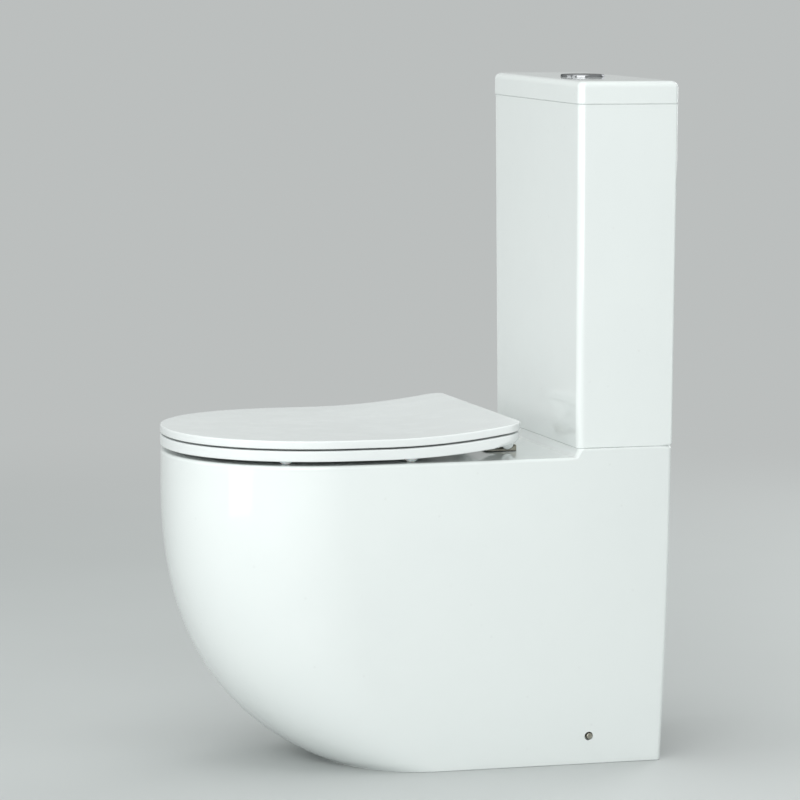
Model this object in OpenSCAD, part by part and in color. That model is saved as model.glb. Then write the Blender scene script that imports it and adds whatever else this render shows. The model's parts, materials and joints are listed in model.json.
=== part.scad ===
// Close coupled toilet: a back-to-wall pan, a cistern with a dual flush valve, and a hinged seat and lid.
// The origin is on the floor under the middle of the pan. +Z is up, the bowl's front faces -Y
// and the wall stands at +Y. Distances "from the wall" are measured forward from the pan's rear face.

/* [Pan outside] */
// From the wall to the front of the pan
pan_depth = 605; // [580:5:640]
// Greatest width of the pan
pan_w = 360; // [350:2:380]
// Width of the foot on the floor
base_w = 272; // [250:2:300]
// From the wall to the front of the foot
base_depth = 406; // [380:2:430]
// From the wall to where the foot starts to round
base_straight = 290; // [260:2:300]
// From the wall to where the rim starts to round
rim_straight = 412; // [400:2:425]
// Height of the deck that the seat is fixed to
deck_h = 390; // [386:1:396]
// Height of the platform that the cistern stands on
platform_h = 400; // [398:1:410]
// Height above which the front stands plumb
plumb_h = 355; // [340:5:370]
// Height of the low handle of the front's curve
sweep_low = 85; // [60:5:110]
// Length of the high handle of the front's curve
sweep_high = 73; // [50:1:100]
// How soon the sides turn in towards the foot
side_power = 1.87; // [1.4:0.01:2.4]
// Roundness of the rim's front, where 2 is an ellipse
rim_round = 2.15; // [2:0.05:2.4]
// Radius of the upright rear corners
corner_r = 6; // [3:1:10]
// Thickness of the skirt
skirt_wall = 12; // [9:1:14]
// Thickness of the deck
deck_wall = 12; // [9:1:14]
// Spread of the hollow at the foot of the platform
step_foot = 4; // [2:0.5:8]

/* [Bowl] */
// Width of the bowl's mouth
bowl_w = 268; // [240:2:280]
// Length of the bowl's mouth
bowl_len = 330; // [300:2:334]
// From the wall to the middle of the bowl's mouth
bowl_from_wall = 407; // [402:1:408]
// Thickness of the bowl
bowl_wall = 11; // [8:1:12]
// Height of the bottom of the sump
sump_h = 80; // [74:1:86]
// Width of the sump
sump_w = 96; // [90:2:110]
// Length of the sump
sump_len = 120; // [110:2:130]
// From the wall to the middle of the sump
sump_from_wall = 335; // [330:1:340]

/* [Trap and flush channel] */
// Bore of the trap at the sump
trap_bore = 62; // [56:1:64]
// Bore of the outlet
outlet_bore = 90; // [84:1:92]
// Outer diameter of the outlet spigot
outlet_d = 102; // [100:1:104]
// Height of the outlet's centre line
outlet_h = 180; // [178:1:190]
// Length of the straight outlet spigot
outlet_len = 40; // [36:1:44]
// From the wall to the end of the outlet spigot
outlet_inset = 30; // [24:1:36]
// From the wall to the corner at the trap's top, where its climbing and falling lines meet
trap_top_from_wall = 180; // [176:1:184]
// Height of that corner
trap_top_h = 276; // [268:1:280]
// Thickness of the trap and of the flush channel
trap_wall = 9; // [7:1:10]
// Width of the flush channel
channel_w = 64; // [50:2:66]
// Height of the flush channel
channel_h = 46; // [36:1:48]
// Width of the opening in the skirt's rear wall
recess_w = 230; // [200:5:235]
// Height of the opening in the skirt's rear wall
recess_h = 290; // [260:5:300]

/* [Cistern] */
// Width of the cistern under its lid
cistern_w = 340; // [330:2:346]
// Depth of the cistern under its lid
cistern_d = 128; // [122:1:134]
// Height of the cistern without its lid
cistern_h = 422; // [400:2:440]
// How much each side leans in towards the base
cistern_lean = 6; // [2:1:8]
// How much the front leans in towards the base
cistern_front_lean = 4; // [1:1:6]
// Radius of the upright corners
cistern_r = 9; // [6:1:12]
// Thickness of the cistern's walls
cistern_wall = 8; // [7:1:10]
// Thickness of the cistern's floor
cistern_floor = 12; // [10:1:14]
// Height of the cistern lid
cistern_lid_h = 28; // [24:1:34]
// Thickness of the cistern lid's top
lid_top_t = 10; // [8:1:12]
// How far the lid stands out past the cistern
lid_overhang = 0.8; // [0.4:0.1:2]
// Radius of the lid's top edge
lid_edge_r = 8; // [4:1:9]

/* [Flush valve and button] */
// From the wall to the button, the flush valve and the coupling bolts
valve_from_wall = 66; // [64:1:68]
// Hole in the cistern's floor for the valve's tail
valve_hole_d = 61; // [60:0.5:62]
// Outer diameter of the valve's tail
valve_tail_d = 59; // [58:0.5:59.5]
// Outer diameter of the overflow pipe
overflow_d = 23; // [21:0.5:24]
// Height of the valve seat above the cistern's floor
valve_seat_h = 8; // [7:0.5:10]
// Lift of the valve at full flush
valve_lift = 12; // [8:1:12]
// Travel of each flush button
button_travel = 6; // [4:0.5:6]
// Outer diameter of the button's rim
bezel_d = 55; // [54:0.5:60]
// Diameter of the two half-round buttons together
button_d = 45; // [44.5:0.5:45.5]
// Hole in the cistern lid for the button
button_hole_d = 49; // [48.5:0.5:50]
// How far the rim stands up from the cistern lid
bezel_h = 3; // [2:0.5:4]
// Diameter of the push rods
rod_d = 5; // [4:0.5:5]
// Height of the lift lever above the cistern's floor
lever_h = 240; // [225:1:260]

/* [Fill valve] */
// From the middle to the fill valve, sideways
fill_x = 110; // [104:1:114]
// Diameter of the inlet's thread
inlet_d = 20.9; // [16.6:0.1:20.9]
// Length of the inlet's tail under the cistern's floor
inlet_tail = 46; // [40:1:56]
// Height of the fill valve above the cistern's floor
fill_valve_h = 330; // [300:2:345]
// Travel of the float
float_travel = 40; // [20:1:50]

/* [Seat] */
// How far the seat and its lid stand out past the pan's sides
seat_overhang = 1; // [0:0.5:3]
// How far the seat's front stands back from the pan's front
seat_setback = 0; // [0:0.5:6]
// From the wall to the rear edge of the lid
lid_rear = 197; // [195:1:202]
// From the wall to the rear edge of the seat ring
ring_rear = 212; // [211:1:214]
// From the wall to where the seat starts to round
seat_straight = 413; // [405:1:420]
// How much each side of the seat draws in towards its rear edge
seat_draw_in = 3; // [0:0.5:8]
// Radius of the seat's rear corners
seat_corner_r = 22; // [14:1:30]
// Thickness of the seat ring
ring_t = 13; // [11:0.5:14]
// Thickness of the lid
lid_t = 10.4; // [8:0.2:12]
// Gap between the seat ring and the lid
lid_gap = 1.8; // [1.2:0.1:3]
// Height of the bumpers under the seat ring
bumper_h = 5.4; // [4:0.2:7]
// From the wall to where the seat starts to sweep up
sweep_start = 372; // [360:1:385]
// Radius of that sweep
sweep_r = 980; // [900:10:1400]
// Width of the hole in the seat ring
ring_hole_w = 214; // [200:2:224]
// Length of the hole in the seat ring
ring_hole_len = 262; // [240:2:270]
// How far the lid and the seat open
open_angle = 95; // [80:1:95]

/* [Hinges] */
// Distance between the two hinges' middles
hinge_spacing = 155; // [150:1:160]
// From the wall to the hinge axis
hinge_from_wall = 191; // [189:0.5:192]
// Height of the hinge axis above the deck
hinge_h = 10.6; // [10.5:0.1:11.4]
// Radius of the barrels round the hinge pins
barrel_r = 8; // [7:0.5:8]
// Diameter of the hinge pins
pin_d = 6; // [5:0.5:7]
// Thickness of the hinge bases at their front edge
tongue_t = 0.8; // [0.6:0.1:1.5]
// Diameter of the hinge studs
stud_d = 8; // [6:0.5:8]
// From the wall to the hinge studs
stud_from_wall = 202; // [201:1:204]

/* [Floor fixing] */
// Height of the fixing holes in the skirt's sides
side_hole_h = 36.5; // [32:0.5:42]
// From the wall to the fixing holes
side_hole_from_wall = 98; // [85:1:115]
// Diameter of the fixing holes
side_hole_d = 11; // [10:0.5:12]
// Diameter of the floor screws' holes in the brackets
floor_hole_d = 8; // [6:0.5:9]

/* [Fits] */
// Gap between neighbours that move past each other
gap = 0.3; // [0.2:0.05:0.4]
// Radial clearance of a running fit
run = 0.06; // [0.03:0.01:0.09]

/* [Hidden] */
$fn = 48;

ceramic = "ghostwhite";
seat_plastic = "whitesmoke";
plain_plastic = "gainsboro";
blue_plastic = "steelblue";
steel = "silver";
nickel = "tan";
rubber_grey = "dimgray";

over = 1;                                   // overlap of a cut past a face
join = 6;                                   // overlap of a pipe with the piece that it grows from
wall_y = pan_depth / 2;                     // the rear face, where the wall is
valve_y = wall_y - valve_from_wall;
hinge_y = wall_y - hinge_from_wall;
hinge_z = deck_h + hinge_h;
stud_y = wall_y - stud_from_wall;
rear_w = cistern_w - 2 * cistern_lean;      // the cistern's base, which the pan's rear is flush with
front_face = cistern_d - cistern_front_lean; // from the wall to the cistern's front at its base
rim_z = platform_h + cistern_h;             // where the cistern lid rests
top_z = rim_z + cistern_lid_h;
floor_z = platform_h + cistern_floor;       // inside bottom of the cistern
under_deck = deck_h - deck_wall;

function wy(d) = wall_y - d;
function lerp(a, b, u) = a + (b - a) * u;
function bez(t, a, b, c, d) =
    pow(1 - t, 3) * a + 3 * pow(1 - t, 2) * t * b + 3 * (1 - t) * t * t * c + pow(t, 3) * d;
function mirrored(half) =
    concat(half, [for (i = [len(half) - 2:-1:1]) [-half[i].x, half[i].y]]);
function at_z(ring, z) = [for (p = ring) [p.x, p.y, z]];

// A solid through a stack of rings, each with as many points, anticlockwise from above, lowest ring first.
module loft(rings) {
    n = len(rings[0]);
    m = len(rings);
    points = [for (ring = rings) each ring];
    sides = [for (i = [0:m - 2], j = [0:n - 1])
        let (a = i * n + j, b = i * n + (j + 1) % n, c = b + n, d = a + n)
        each [[a, d, c], [a, c, b]]];
    bottom = [for (j = [0:n - 1]) j];
    top = [for (j = [n - 1:-1:0]) (m - 1) * n + j];
    polyhedron(points, concat([bottom], sides, [top]));
}

module at_both(x) {
    for (side = [-1, 1]) translate([side * x, 0, 0]) children();
}

// A cylinder along +X from x, on the line y, z.
module bar_x(x, len, r, y, z) {
    translate([x, y, z]) rotate([0, 90, 0]) cylinder(r = r, h = len);
}

module tube(r, bore, z0, z1) {
    difference() {
        translate([0, 0, z0]) cylinder(r = r, h = z1 - z0);
        translate([0, 0, z0 - over]) cylinder(r = bore, h = z1 - z0 + 2 * over);
    }
}

module wing(r, reach, t, h) {
    for (turn = [0, 180]) rotate(turn) translate([r - 1, -t / 2, 0]) cube([reach - r + 1, t, h]);
}

// ---- Pan ----

front_steps = 11;
side_steps = 5;
corner_steps = 3;
rear_steps = 4;

// Half of the D-shaped plan, from the front tip round the right side to the middle of the rear.
function d_half(front, straight, half_w, rear_half, round, rear, r) =
    let (
        widest = wy(straight),
        tip = wy(front),
        back = wy(rear)
    )
    concat(
        [for (i = [0:front_steps]) let (a = 90 * i / front_steps)
            [half_w * pow(sin(a), 2 / round), widest - (widest - tip) * pow(cos(a), 2 / round)]],
        [for (i = [1:side_steps]) let (u = i / side_steps)
            [lerp(half_w, rear_half, u * u), lerp(widest, back - r, u)]],
        [for (i = [1:corner_steps]) let (a = 90 * i / corner_steps)
            [rear_half - r + r * cos(a), back - r + r * sin(a)]],
        [for (i = [1:rear_steps]) [(rear_half - r) * (1 - i / rear_steps), back]]
    );

// The skirt's outline at step t up the front's curve: t = 0 on the floor, t = 1 at plumb_h.
function skirt_z(t) = bez(t, 0, sweep_low, plumb_h - sweep_high, plumb_h);
function skirt_front(t) = bez(t, base_depth, pan_depth, pan_depth, pan_depth);
function skirt_ring(front, z, inset = 0, front_inset = 0) =
    let (
        g = (pan_depth - front) / (pan_depth - base_depth),
        narrow = pow(1 - z / platform_h, side_power)
    )
    at_z(mirrored(d_half(
        front - inset - front_inset * g,
        lerp(rim_straight, base_straight, g) - inset / 2,
        (pan_w - (pan_w - base_w) * narrow) / 2 - inset,
        (rear_w - (rear_w - base_w) * narrow) / 2 - inset,
        lerp(rim_round, 2, g),
        inset,
        corner_r
    )), z);

skirt_outside = concat(
    [for (t = [0, 0.05, 0.12, 0.2, 0.28, 0.36, 0.44, 0.52, 0.62, 0.72, 0.84])
        skirt_ring(skirt_front(t), skirt_z(t))],
    [for (z = [plumb_h, deck_h, platform_h]) skirt_ring(pan_depth, z)]
);
foot_extra = 16;                             // the skirt is thicker where it turns under
skirt_inside = concat(
    [for (t = [0, 0.12, 0.24, 0.36, 0.5, 0.66, 0.84])
        skirt_ring(skirt_front(t), skirt_z(t), skirt_wall, foot_extra)],
    [skirt_ring(pan_depth, under_deck, skirt_wall, foot_extra)]
);

// Rings of the bowl keep to the directions of the rim's points, so that the deck never folds.
bowl_y = wy(bowl_from_wall);
directions = [for (p = skirt_ring(pan_depth, deck_h))
    let (d = [p.x, p.y - bowl_y]) d / norm(d)];
bowl_round = 2.25;
function oval(half_w, half_len, y, z, grow = 0) =
    [for (d = directions)
        let (r = 1 / pow(pow(abs(d.x) / (half_w + grow), bowl_round)
            + pow(abs(d.y) / (half_len + grow), bowl_round), 1 / bowl_round))
        [d.x * r, y + d.y * r, z]];

// The bowl's section: h = 0 at the sump's floor, h = 1 at the mouth.
function bowl_open(h) = pow(1 - pow(1 - h, 2), 0.6);
function bowl_ring(h, z, grow = 0) =
    let (f = bowl_open(h))
    oval(lerp(sump_w, bowl_w, f) / 2, lerp(sump_len, bowl_len, f) / 2,
        wy(lerp(sump_from_wall, bowl_from_wall, f)), z, grow);

bowl_steps = [0, 0.04, 0.1, 0.2, 0.32, 0.46, 0.62, 0.8];
bowl_outside = concat(
    [for (h = bowl_steps) bowl_ring(h, lerp(sump_h - bowl_wall, under_deck, h), bowl_wall)],
    [bowl_ring(1, under_deck, bowl_wall), bowl_ring(1, deck_h, bowl_wall)]
);
bowl_inside = concat(
    [for (h = bowl_steps) bowl_ring(h, lerp(sump_h, deck_h, h))],
    [bowl_ring(1, deck_h - over), bowl_ring(1, deck_h + over)]
);

// The trap dips under the bowl's rear wall, climbs over its weir and falls to the outlet.
trap_end = [wy(outlet_inset + outlet_len), outlet_h];
trap_corners = [
    [wy(sump_from_wall) + 22, sump_h + trap_bore / 2 + 8],
    [wy(sump_from_wall) + 115, sump_h + 20],
    [wy(trap_top_from_wall), trap_top_h],
    [trap_end.x - 28, outlet_h],
    trap_end
];
trap_bends = [48, 50, 54];
bend_steps = 6;

// Points and directions along an arc of radius r that rounds the corner b between a and c.
function bend(a, b, c, r) =
    let (
        u = (b - a) / norm(b - a),
        v = (c - b) / norm(c - b),
        turn = atan2(cross(u, v), u * v),
        start = b - u * r * tan(abs(turn) / 2),
        arm = [u.y, -u.x] * r * sign(turn),
        centre = start - arm
    )
    [for (k = [0:bend_steps]) let (w = turn * k / bend_steps)
        [centre + [arm.x * cos(w) - arm.y * sin(w), arm.x * sin(w) + arm.y * cos(w)],
         [u.x * cos(w) - u.y * sin(w), u.x * sin(w) + u.y * cos(w)]]];
trap_bent = [for (i = [0:2])
    each bend(trap_corners[i], trap_corners[i + 1], trap_corners[i + 2], trap_bends[i])];
trap_path = concat([[trap_corners[0], trap_bent[0][1]]], trap_bent, [[trap_end, [1, 0]]]);

// Rings across the trap, of radius r0 at the sump and r1 at the outlet.
function trap_rings(r0, r1) =
    let (last = len(trap_path) - 1)
    [for (i = [0:last])
        let (p = trap_path[i][0], t = trap_path[i][1], r = lerp(r0, r1, pow(i / last, 3)))
        [for (k = [0:15]) let (a = 22.5 * k)
            [r * cos(a), p.x + r * sin(a) * t.y, p.y - r * sin(a) * t.x]]];

channel_z = under_deck - trap_wall - channel_h;
recess_r = valve_hole_d / 2 + 15.5;          // room in the platform for the nut and the gasket
recess_floor = platform_h - deck_wall;
inlet_hole_r = inlet_d / 2 + 12;
coupling_x = 75;
coupling_hole_r = 5.5;
stud_hole_r = stud_d / 2 + 3;

// Half the pan's width at the deck, at a distance from the wall behind the rim's widest place.
function half_at(d) =
    let (u = (rim_straight - d) / (rim_straight - corner_r))
    lerp(pan_w, rear_w, u * u) / 2;

// Outline of the platform's front, with the cistern's rounded corners, grown by spread at its foot.
pad_edge = 0.5;                              // the platform's margin in front of the cistern
function pad_ring(z, spread) =
    let (
        half = half_at(front_face) + spread,
        front = wy(front_face + pad_edge + spread),
        r = cistern_r + spread
    )
    at_z(concat(
        [[half, wall_y + over], [-half, wall_y + over]],
        [for (i = [0:4]) let (a = 180 + 22.5 * i) [-half + r + r * cos(a), front + r + r * sin(a)]],
        [for (i = [0:4]) let (a = 270 + 22.5 * i) [half - r + r * cos(a), front + r + r * sin(a)]]
    ), z);

// All that is cut away above the deck, in front of the platform.
module deck_cut() {
    rise = platform_h - deck_h;
    difference() {
        translate([-pan_w, -pan_depth, deck_h]) cube([2 * pan_w, 2 * pan_depth, rise + over]);
        loft([
            pad_ring(deck_h - over, step_foot),
            pad_ring(deck_h, step_foot),
            pad_ring(deck_h + rise * 0.15, step_foot * 0.45),
            pad_ring(deck_h + rise * 0.45, step_foot * 0.1),
            pad_ring(platform_h + 2 * over, 0)
        ]);
    }
}

module side_holes(r, x0, x1) {
    for (side = [0, 1]) mirror([side, 0, 0])
        bar_x(x0, x1 - x0, r, wy(side_hole_from_wall), side_hole_h);
}

// The skirt with its deck and platform. The bowl, the trap and the flush channel are stuck into it.
module pan() {
    foot = skirt_ring(base_depth, 0, skirt_wall, foot_extra);
    color(ceramic) difference() {
        loft(skirt_outside);
        loft(concat([[for (p = foot) [p.x, p.y, -over]]], skirt_inside));
        deck_cut();
        loft([bowl_ring(1, under_deck - over, bowl_wall), bowl_ring(1, platform_h + over, bowl_wall)]);
        translate([0, valve_y, under_deck - over]) cylinder(r = shaft_r, h = platform_h - under_deck);
        translate([0, valve_y, recess_floor]) cylinder(r = recess_r, h = deck_wall + over);
        translate([-fill_x, valve_y, under_deck - over])
            cylinder(r = inlet_hole_r, h = platform_h - under_deck + 2 * over);
        at_both(coupling_x) translate([0, valve_y, under_deck - over])
            cylinder(r = coupling_hole_r, h = platform_h - under_deck + 2 * over);
        at_both(hinge_spacing / 2) translate([0, stud_y, under_deck - over])
            cylinder(r = stud_hole_r, h = deck_wall + 2 * over);
        side_holes(side_hole_d / 2, base_w / 2 - skirt_wall - 10, pan_w / 2);
        // opening in the rear wall for the pipes
        translate([-recess_w / 2, wall_y - skirt_wall - 3, -over])
            cube([recess_w, skirt_wall + 3 + over, recess_h + over]);
    }
}

module bowl() {
    color(ceramic) difference() {
        loft(bowl_outside);
        loft(bowl_inside);
        loft(trap_rings(trap_bore / 2, outlet_bore / 2 - 0.5));
        channel_bore();
    }
}

module trapway() {
    color(ceramic) difference() {
        union() {
            loft(trap_rings(trap_bore / 2 + trap_wall, outlet_d / 2 - 0.5));
            translate([0, trap_end.x - join, outlet_h]) rotate([-90, 0, 0])
                cylinder(r = outlet_d / 2, h = outlet_len + join);
        }
        loft(bowl_outside);
        loft(trap_rings(trap_bore / 2, outlet_bore / 2 - 0.5));
        translate([0, trap_end.x - 2, outlet_h]) rotate([-90, 0, 0])
            cylinder(r = outlet_bore / 2, h = outlet_len + 2 + over);
    }
}

// The channel from under the cistern to the bowl's rear, with the shaft that the flush valve's tail hangs in.
channel_from = bowl_from_wall - bowl_len / 2;
shaft_r = channel_w / 2 + 3;
module channel_bore() {
    translate([-channel_w / 2, wy(channel_from + 20), channel_z])
        cube([channel_w, channel_from + 20 - valve_from_wall, channel_h]);
}

module flush_channel() {
    z0 = channel_z - trap_wall;
    color(ceramic) difference() {
        union() {
            translate([-channel_w / 2 - trap_wall, wy(channel_from), z0])
                cube([channel_w + 2 * trap_wall, channel_from - valve_from_wall, under_deck - z0]);
            translate([0, valve_y, z0]) cylinder(r = recess_r - 1, h = under_deck - z0);
        }
        loft(bowl_outside);
        channel_bore();
        translate([0, valve_y, channel_z]) cylinder(r = shaft_r, h = under_deck - channel_z + over);
    }
}

// ---- Cistern ----

arc_steps = 5;
function round_box(half_w, y0, y1, r, z) =
    [for (corner = [[1, -1, -90], [1, 1, 0], [-1, 1, 90], [-1, -1, 180]], i = [0:arc_steps])
        let (
            a = corner[2] + 90 * i / arc_steps,
            cy = corner.y < 0 ? y0 + r : y1 - r
        )
        [corner.x * (half_w - r) + r * cos(a), cy + r * sin(a), z]];

// The cistern's outline at height z: it leans out from the base to the rim.
function cistern_ring(z, inset = 0) =
    let (u = (z - platform_h) / cistern_h)
    round_box(
        rear_w / 2 + cistern_lean * u - inset,
        wy(front_face + cistern_front_lean * u) + inset,
        wall_y - inset,
        max(cistern_r - inset, 3),
        z
    );

module cistern() {
    color(ceramic) difference() {
        loft([cistern_ring(platform_h), cistern_ring(rim_z)]);
        loft([cistern_ring(floor_z, cistern_wall), cistern_ring(rim_z + over, cistern_wall)]);
        translate([0, valve_y, platform_h - over])
            cylinder(r = valve_hole_d / 2, h = cistern_floor + 2 * over);
        translate([-fill_x, valve_y, platform_h - over])
            cylinder(r = shank_d / 2 + 0.5, h = cistern_floor + 2 * over);
        at_both(coupling_x) translate([0, valve_y, platform_h - over])
            cylinder(r = coupling_hole_r, h = cistern_floor + 2 * over);
    }
}

lid_half = cistern_w / 2 + lid_overhang;
lip_depth = 10;                              // how far the lid's lip reaches into the cistern
lip_t = 6;
lip_clear = 1.5;
module cistern_lid() {
    front = wy(cistern_d + lid_overhang);
    lip_in = cistern_wall + lip_clear;
    edge = [for (i = [0:5]) let (a = 18 * i)
        [lid_edge_r * (1 - cos(a)), top_z - lid_edge_r + lid_edge_r * sin(a)]];
    color(ceramic) difference() {
        union() {
            loft(concat(
                [round_box(lid_half, front, wall_y, cistern_r, rim_z)],
                [for (e = edge) round_box(lid_half - e.x, front + e.x, wall_y - e.x,
                    max(cistern_r - e.x * 0.4, 2), e.y)]
            ));
            loft([for (z = [rim_z - lip_depth, rim_z + over])
                round_box(cistern_w / 2 - lip_in - 0.5, wy(cistern_d - lip_in - 0.5),
                    wall_y - lip_in, 5, z)]);
        }
        loft([for (z = [rim_z - lip_depth - over, top_z - lid_top_t])
            round_box(cistern_w / 2 - lip_in - lip_t, wy(cistern_d - lip_in - lip_t),
                wall_y - lip_in - lip_t, 3, z)]);
        translate([0, valve_y, rim_z]) cylinder(r = button_hole_d / 2, h = cistern_lid_h + over);
    }
}

// ---- Joint between the cistern and the pan ----

nut_clear = 0.05;
gasket_bore = recess_r - 8;
module coupling_gasket() {
    color(rubber_grey) translate([0, valve_y, 0]) difference() {
        tube(recess_r - 0.5, gasket_bore, recess_floor, platform_h);
        translate([0, 0, recess_floor]) cylinder(r1 = gasket_bore + 2, r2 = gasket_bore, h = 3);
    }
}

seal_t = 3;
bolt_d = 8;
washer_t = 2;
wing_h = 9;
bolt_end = under_deck - washer_t - wing_h - 12;
module coupling_bolts() {
    head = floor_z + seal_t;
    color(steel) at_both(coupling_x) translate([0, valve_y, 0]) {
        translate([0, 0, bolt_end]) cylinder(d = bolt_d, h = head - bolt_end + 1);
        translate([0, 0, head]) cylinder(r = 9, h = 4);
        translate([0, 0, head + 3]) difference() {
            cylinder(r1 = 8, r2 = 6.5, h = 3);
            translate([-7, -0.8, 1.8]) cube([14, 1.6, 2]);
        }
    }
}

module coupling_seals() {
    color(rubber_grey) at_both(coupling_x) translate([0, valve_y, 0])
        tube(12, bolt_d / 2 + nut_clear, floor_z, floor_z + seal_t);
}

module coupling_washers() {
    color(steel) at_both(coupling_x) translate([0, valve_y, 0])
        tube(12, bolt_d / 2 + 0.4, under_deck - washer_t, under_deck);
}

wing_hub_r = 7.5;
wing_t = 3;
module coupling_wing_nuts() {
    z = under_deck - washer_t - wing_h;
    color(steel) at_both(coupling_x) translate([0, valve_y, 0]) difference() {
        union() {
            translate([0, 0, z]) cylinder(r = wing_hub_r, h = wing_h);
            translate([0, 0, z]) rotate(90) wing(wing_hub_r, 2 * wing_hub_r, wing_t, wing_h - 2);
        }
        translate([0, 0, z - over]) cylinder(d = bolt_d + 2 * nut_clear, h = wing_h + 2 * over);
    }
}

// ---- Flush valve ----

valve_bore = valve_tail_d / 2 - 4.5;
valve_flange_r = valve_hole_d / 2 + 7;
valve_washer_t = 2.5;
valve_nut_h = 9;
flange_z = floor_z + valve_washer_t;
seat_z = floor_z + valve_seat_h;
cage_r = valve_tail_d / 2 + 6;
cage_wall = 3;
cage_rim = 6;                                // solid band at each end of the cage
window_w = 22;
cage_top = floor_z + 40;
tower_deck = cage_top + 50;
deck_t = 4;
guide_top = floor_z + lever_h - 16;
lever_z = floor_z + lever_h;
pipe_r = overflow_d / 2;
tower_tail = recess_floor - 8;
disc_t = 1.5;

module cage_windows(z0, z1, count) {
    for (k = [0:count - 1]) rotate(45 + 360 * k / count)
        translate([0, -window_w / 2, z0]) cube([cage_r + cage_wall, window_w, z1 - z0]);
}

module flush_valve_base() {
    color(plain_plastic) translate([0, valve_y, 0]) {
        difference() {
            union() {
                translate([0, 0, tower_tail]) cylinder(d = valve_tail_d, h = flange_z - tower_tail + 1);
                translate([0, 0, flange_z]) cylinder(r = valve_flange_r, h = seat_z - 2 - flange_z);
                translate([0, 0, flange_z]) cylinder(r = valve_bore + cage_wall, h = seat_z - flange_z);
            }
            translate([0, 0, tower_tail - over]) cylinder(r = valve_bore, h = seat_z - tower_tail + 2 * over);
        }
        difference() {
            tube(cage_r, cage_r - cage_wall, seat_z - cage_wall, cage_top);
            cage_windows(seat_z, cage_top - cage_rim, 4);
        }
    }
}

module flush_valve_washer() {
    color(rubber_grey) translate([0, valve_y, 0])
        tube(valve_flange_r, valve_tail_d / 2 + nut_clear, floor_z, flange_z);
}

// A ring nut with grip ribs round it, on a thread of radius bore.
module ribbed_nut(r, bore, z, h, ribs) {
    rib_w = 6;
    difference() {
        union() {
            translate([0, 0, z]) cylinder(r = r, h = h);
            for (k = [0:ribs - 1]) rotate(360 * k / ribs)
                translate([r - 2, -rib_w / 2, z]) cube([5, rib_w, h]);
        }
        translate([0, 0, z - over]) cylinder(r = bore + nut_clear, h = h + 2 * over);
    }
}

module flush_valve_nut() {
    color(plain_plastic) translate([0, valve_y, 0])
        ribbed_nut(gasket_bore - 3.5, valve_tail_d / 2, platform_h - valve_nut_h, valve_nut_h, 8);
}

lever_half = 16;                             // inner faces of the fork's arms
arm_t = 4;
crossbar_y = -16.5;
pivot_y = -4;
press_arm = pivot_y - crossbar_y;
lift_arm = press_arm * valve_lift / button_travel;
lever_pin_r = 2;
boss_r = 2.5;

module flush_valve_tower() {
    ear_x = lever_half + arm_t + gap;
    ear_h = 30;                              // from the ears' foot up to the top of the pipe's guide
    ear_w = 10;
    ear_t = 4;
    color(plain_plastic) translate([0, valve_y, 0]) {
        difference() {
            union() {
                difference() {
                    tube(cage_r, cage_r - cage_wall, cage_top, tower_deck + 1);
                    cage_windows(cage_top + cage_rim, tower_deck - cage_rim, 4);
                }
                translate([0, 0, tower_deck]) cylinder(r = cage_r, h = deck_t);
                translate([0, 0, tower_deck]) cylinder(r = pipe_r + cage_wall, h = guide_top - tower_deck);
                // ears for the lever's pins, on a bar across the guide
                for (side = [-1, 1])
                    translate([side * (ear_x + ear_t / 2) - ear_t / 2, pivot_y - ear_w / 2,
                            guide_top - ear_h])
                        cube([ear_t, ear_w, lever_z + ear_w / 2 - guide_top + ear_h]);
                translate([-ear_x - ear_t / 2, pivot_y - ear_w / 2 + 1, guide_top - ear_h])
                    cube([2 * ear_x + ear_t, ear_w - 2, 5]);
            }
            translate([0, 0, tower_deck - over])
                cylinder(r = pipe_r + 0.1, h = guide_top - tower_deck + 2 * over);
            bar_x(-ear_x - 6, 2 * ear_x + 12, lever_pin_r + nut_clear, pivot_y, lever_z);
        }
    }
}

lug_z = lever_z + boss_r + gap;
pipe_top = lug_z + 8;
pipe_wall = 1.6;
module overflow_pipe() {
    pipe_z = seat_z + disc_t;
    lug_t = 4;
    lug_y0 = pipe_r - cage_wall;
    lug_y1 = pivot_y + lift_arm + 5;
    color(blue_plastic) translate([0, valve_y, 0]) difference() {
        union() {
            translate([0, 0, pipe_z]) cylinder(r = pipe_r, h = pipe_top - pipe_z);
            translate([0, 0, pipe_z]) cylinder(r = cage_r - cage_wall - 1, h = 2.5);
            translate([-lever_half - arm_t, lug_y0, lug_z])
                cube([2 * (lever_half + arm_t), lug_y1 - lug_y0, lug_t]);
        }
        translate([0, 0, seat_z]) cylinder(r = pipe_r - pipe_wall, h = pipe_top - seat_z + over);
        translate([0, half_rod_y, lug_z - over]) cylinder(d = rod_d + 3, h = lug_t + 2 * over);
    }
}

module valve_seal() {
    color("firebrick") translate([0, valve_y, 0])
        tube(valve_bore + 5, pipe_r + 4, seat_z, seat_z + disc_t);
}

module valve_float() {
    z = cage_top + 4;
    h = 30;
    r = cage_r - cage_wall - 3;
    wall = 2;
    color(blue_plastic) translate([0, valve_y, 0]) difference() {
        translate([0, 0, z]) cylinder(r = r, h = h);
        translate([0, 0, z - over]) cylinder(r = pipe_r + nut_clear, h = h + 2 * over);
        tube(r - wall, pipe_r + 2 * wall, z + wall, z + h + over);
    }
}

module lift_lever() {
    color(plain_plastic) translate([0, valve_y, lever_z]) difference() {
        union() {
            for (side = [-1, 1]) {
                x = side > 0 ? lever_half : -lever_half - arm_t;
                translate([x, crossbar_y, -2]) cube([arm_t, press_arm + lift_arm, 4]);
                bar_x(x, arm_t, boss_r, pivot_y + lift_arm, 0);
                bar_x(x, arm_t, lever_pin_r + 2.5, pivot_y, 0);
            }
            bar_x(-lever_half - arm_t, 2 * (lever_half + arm_t), boss_r, crossbar_y, 0);
        }
        bar_x(-30, 60, lever_pin_r + run, pivot_y, 0);
    }
}

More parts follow.
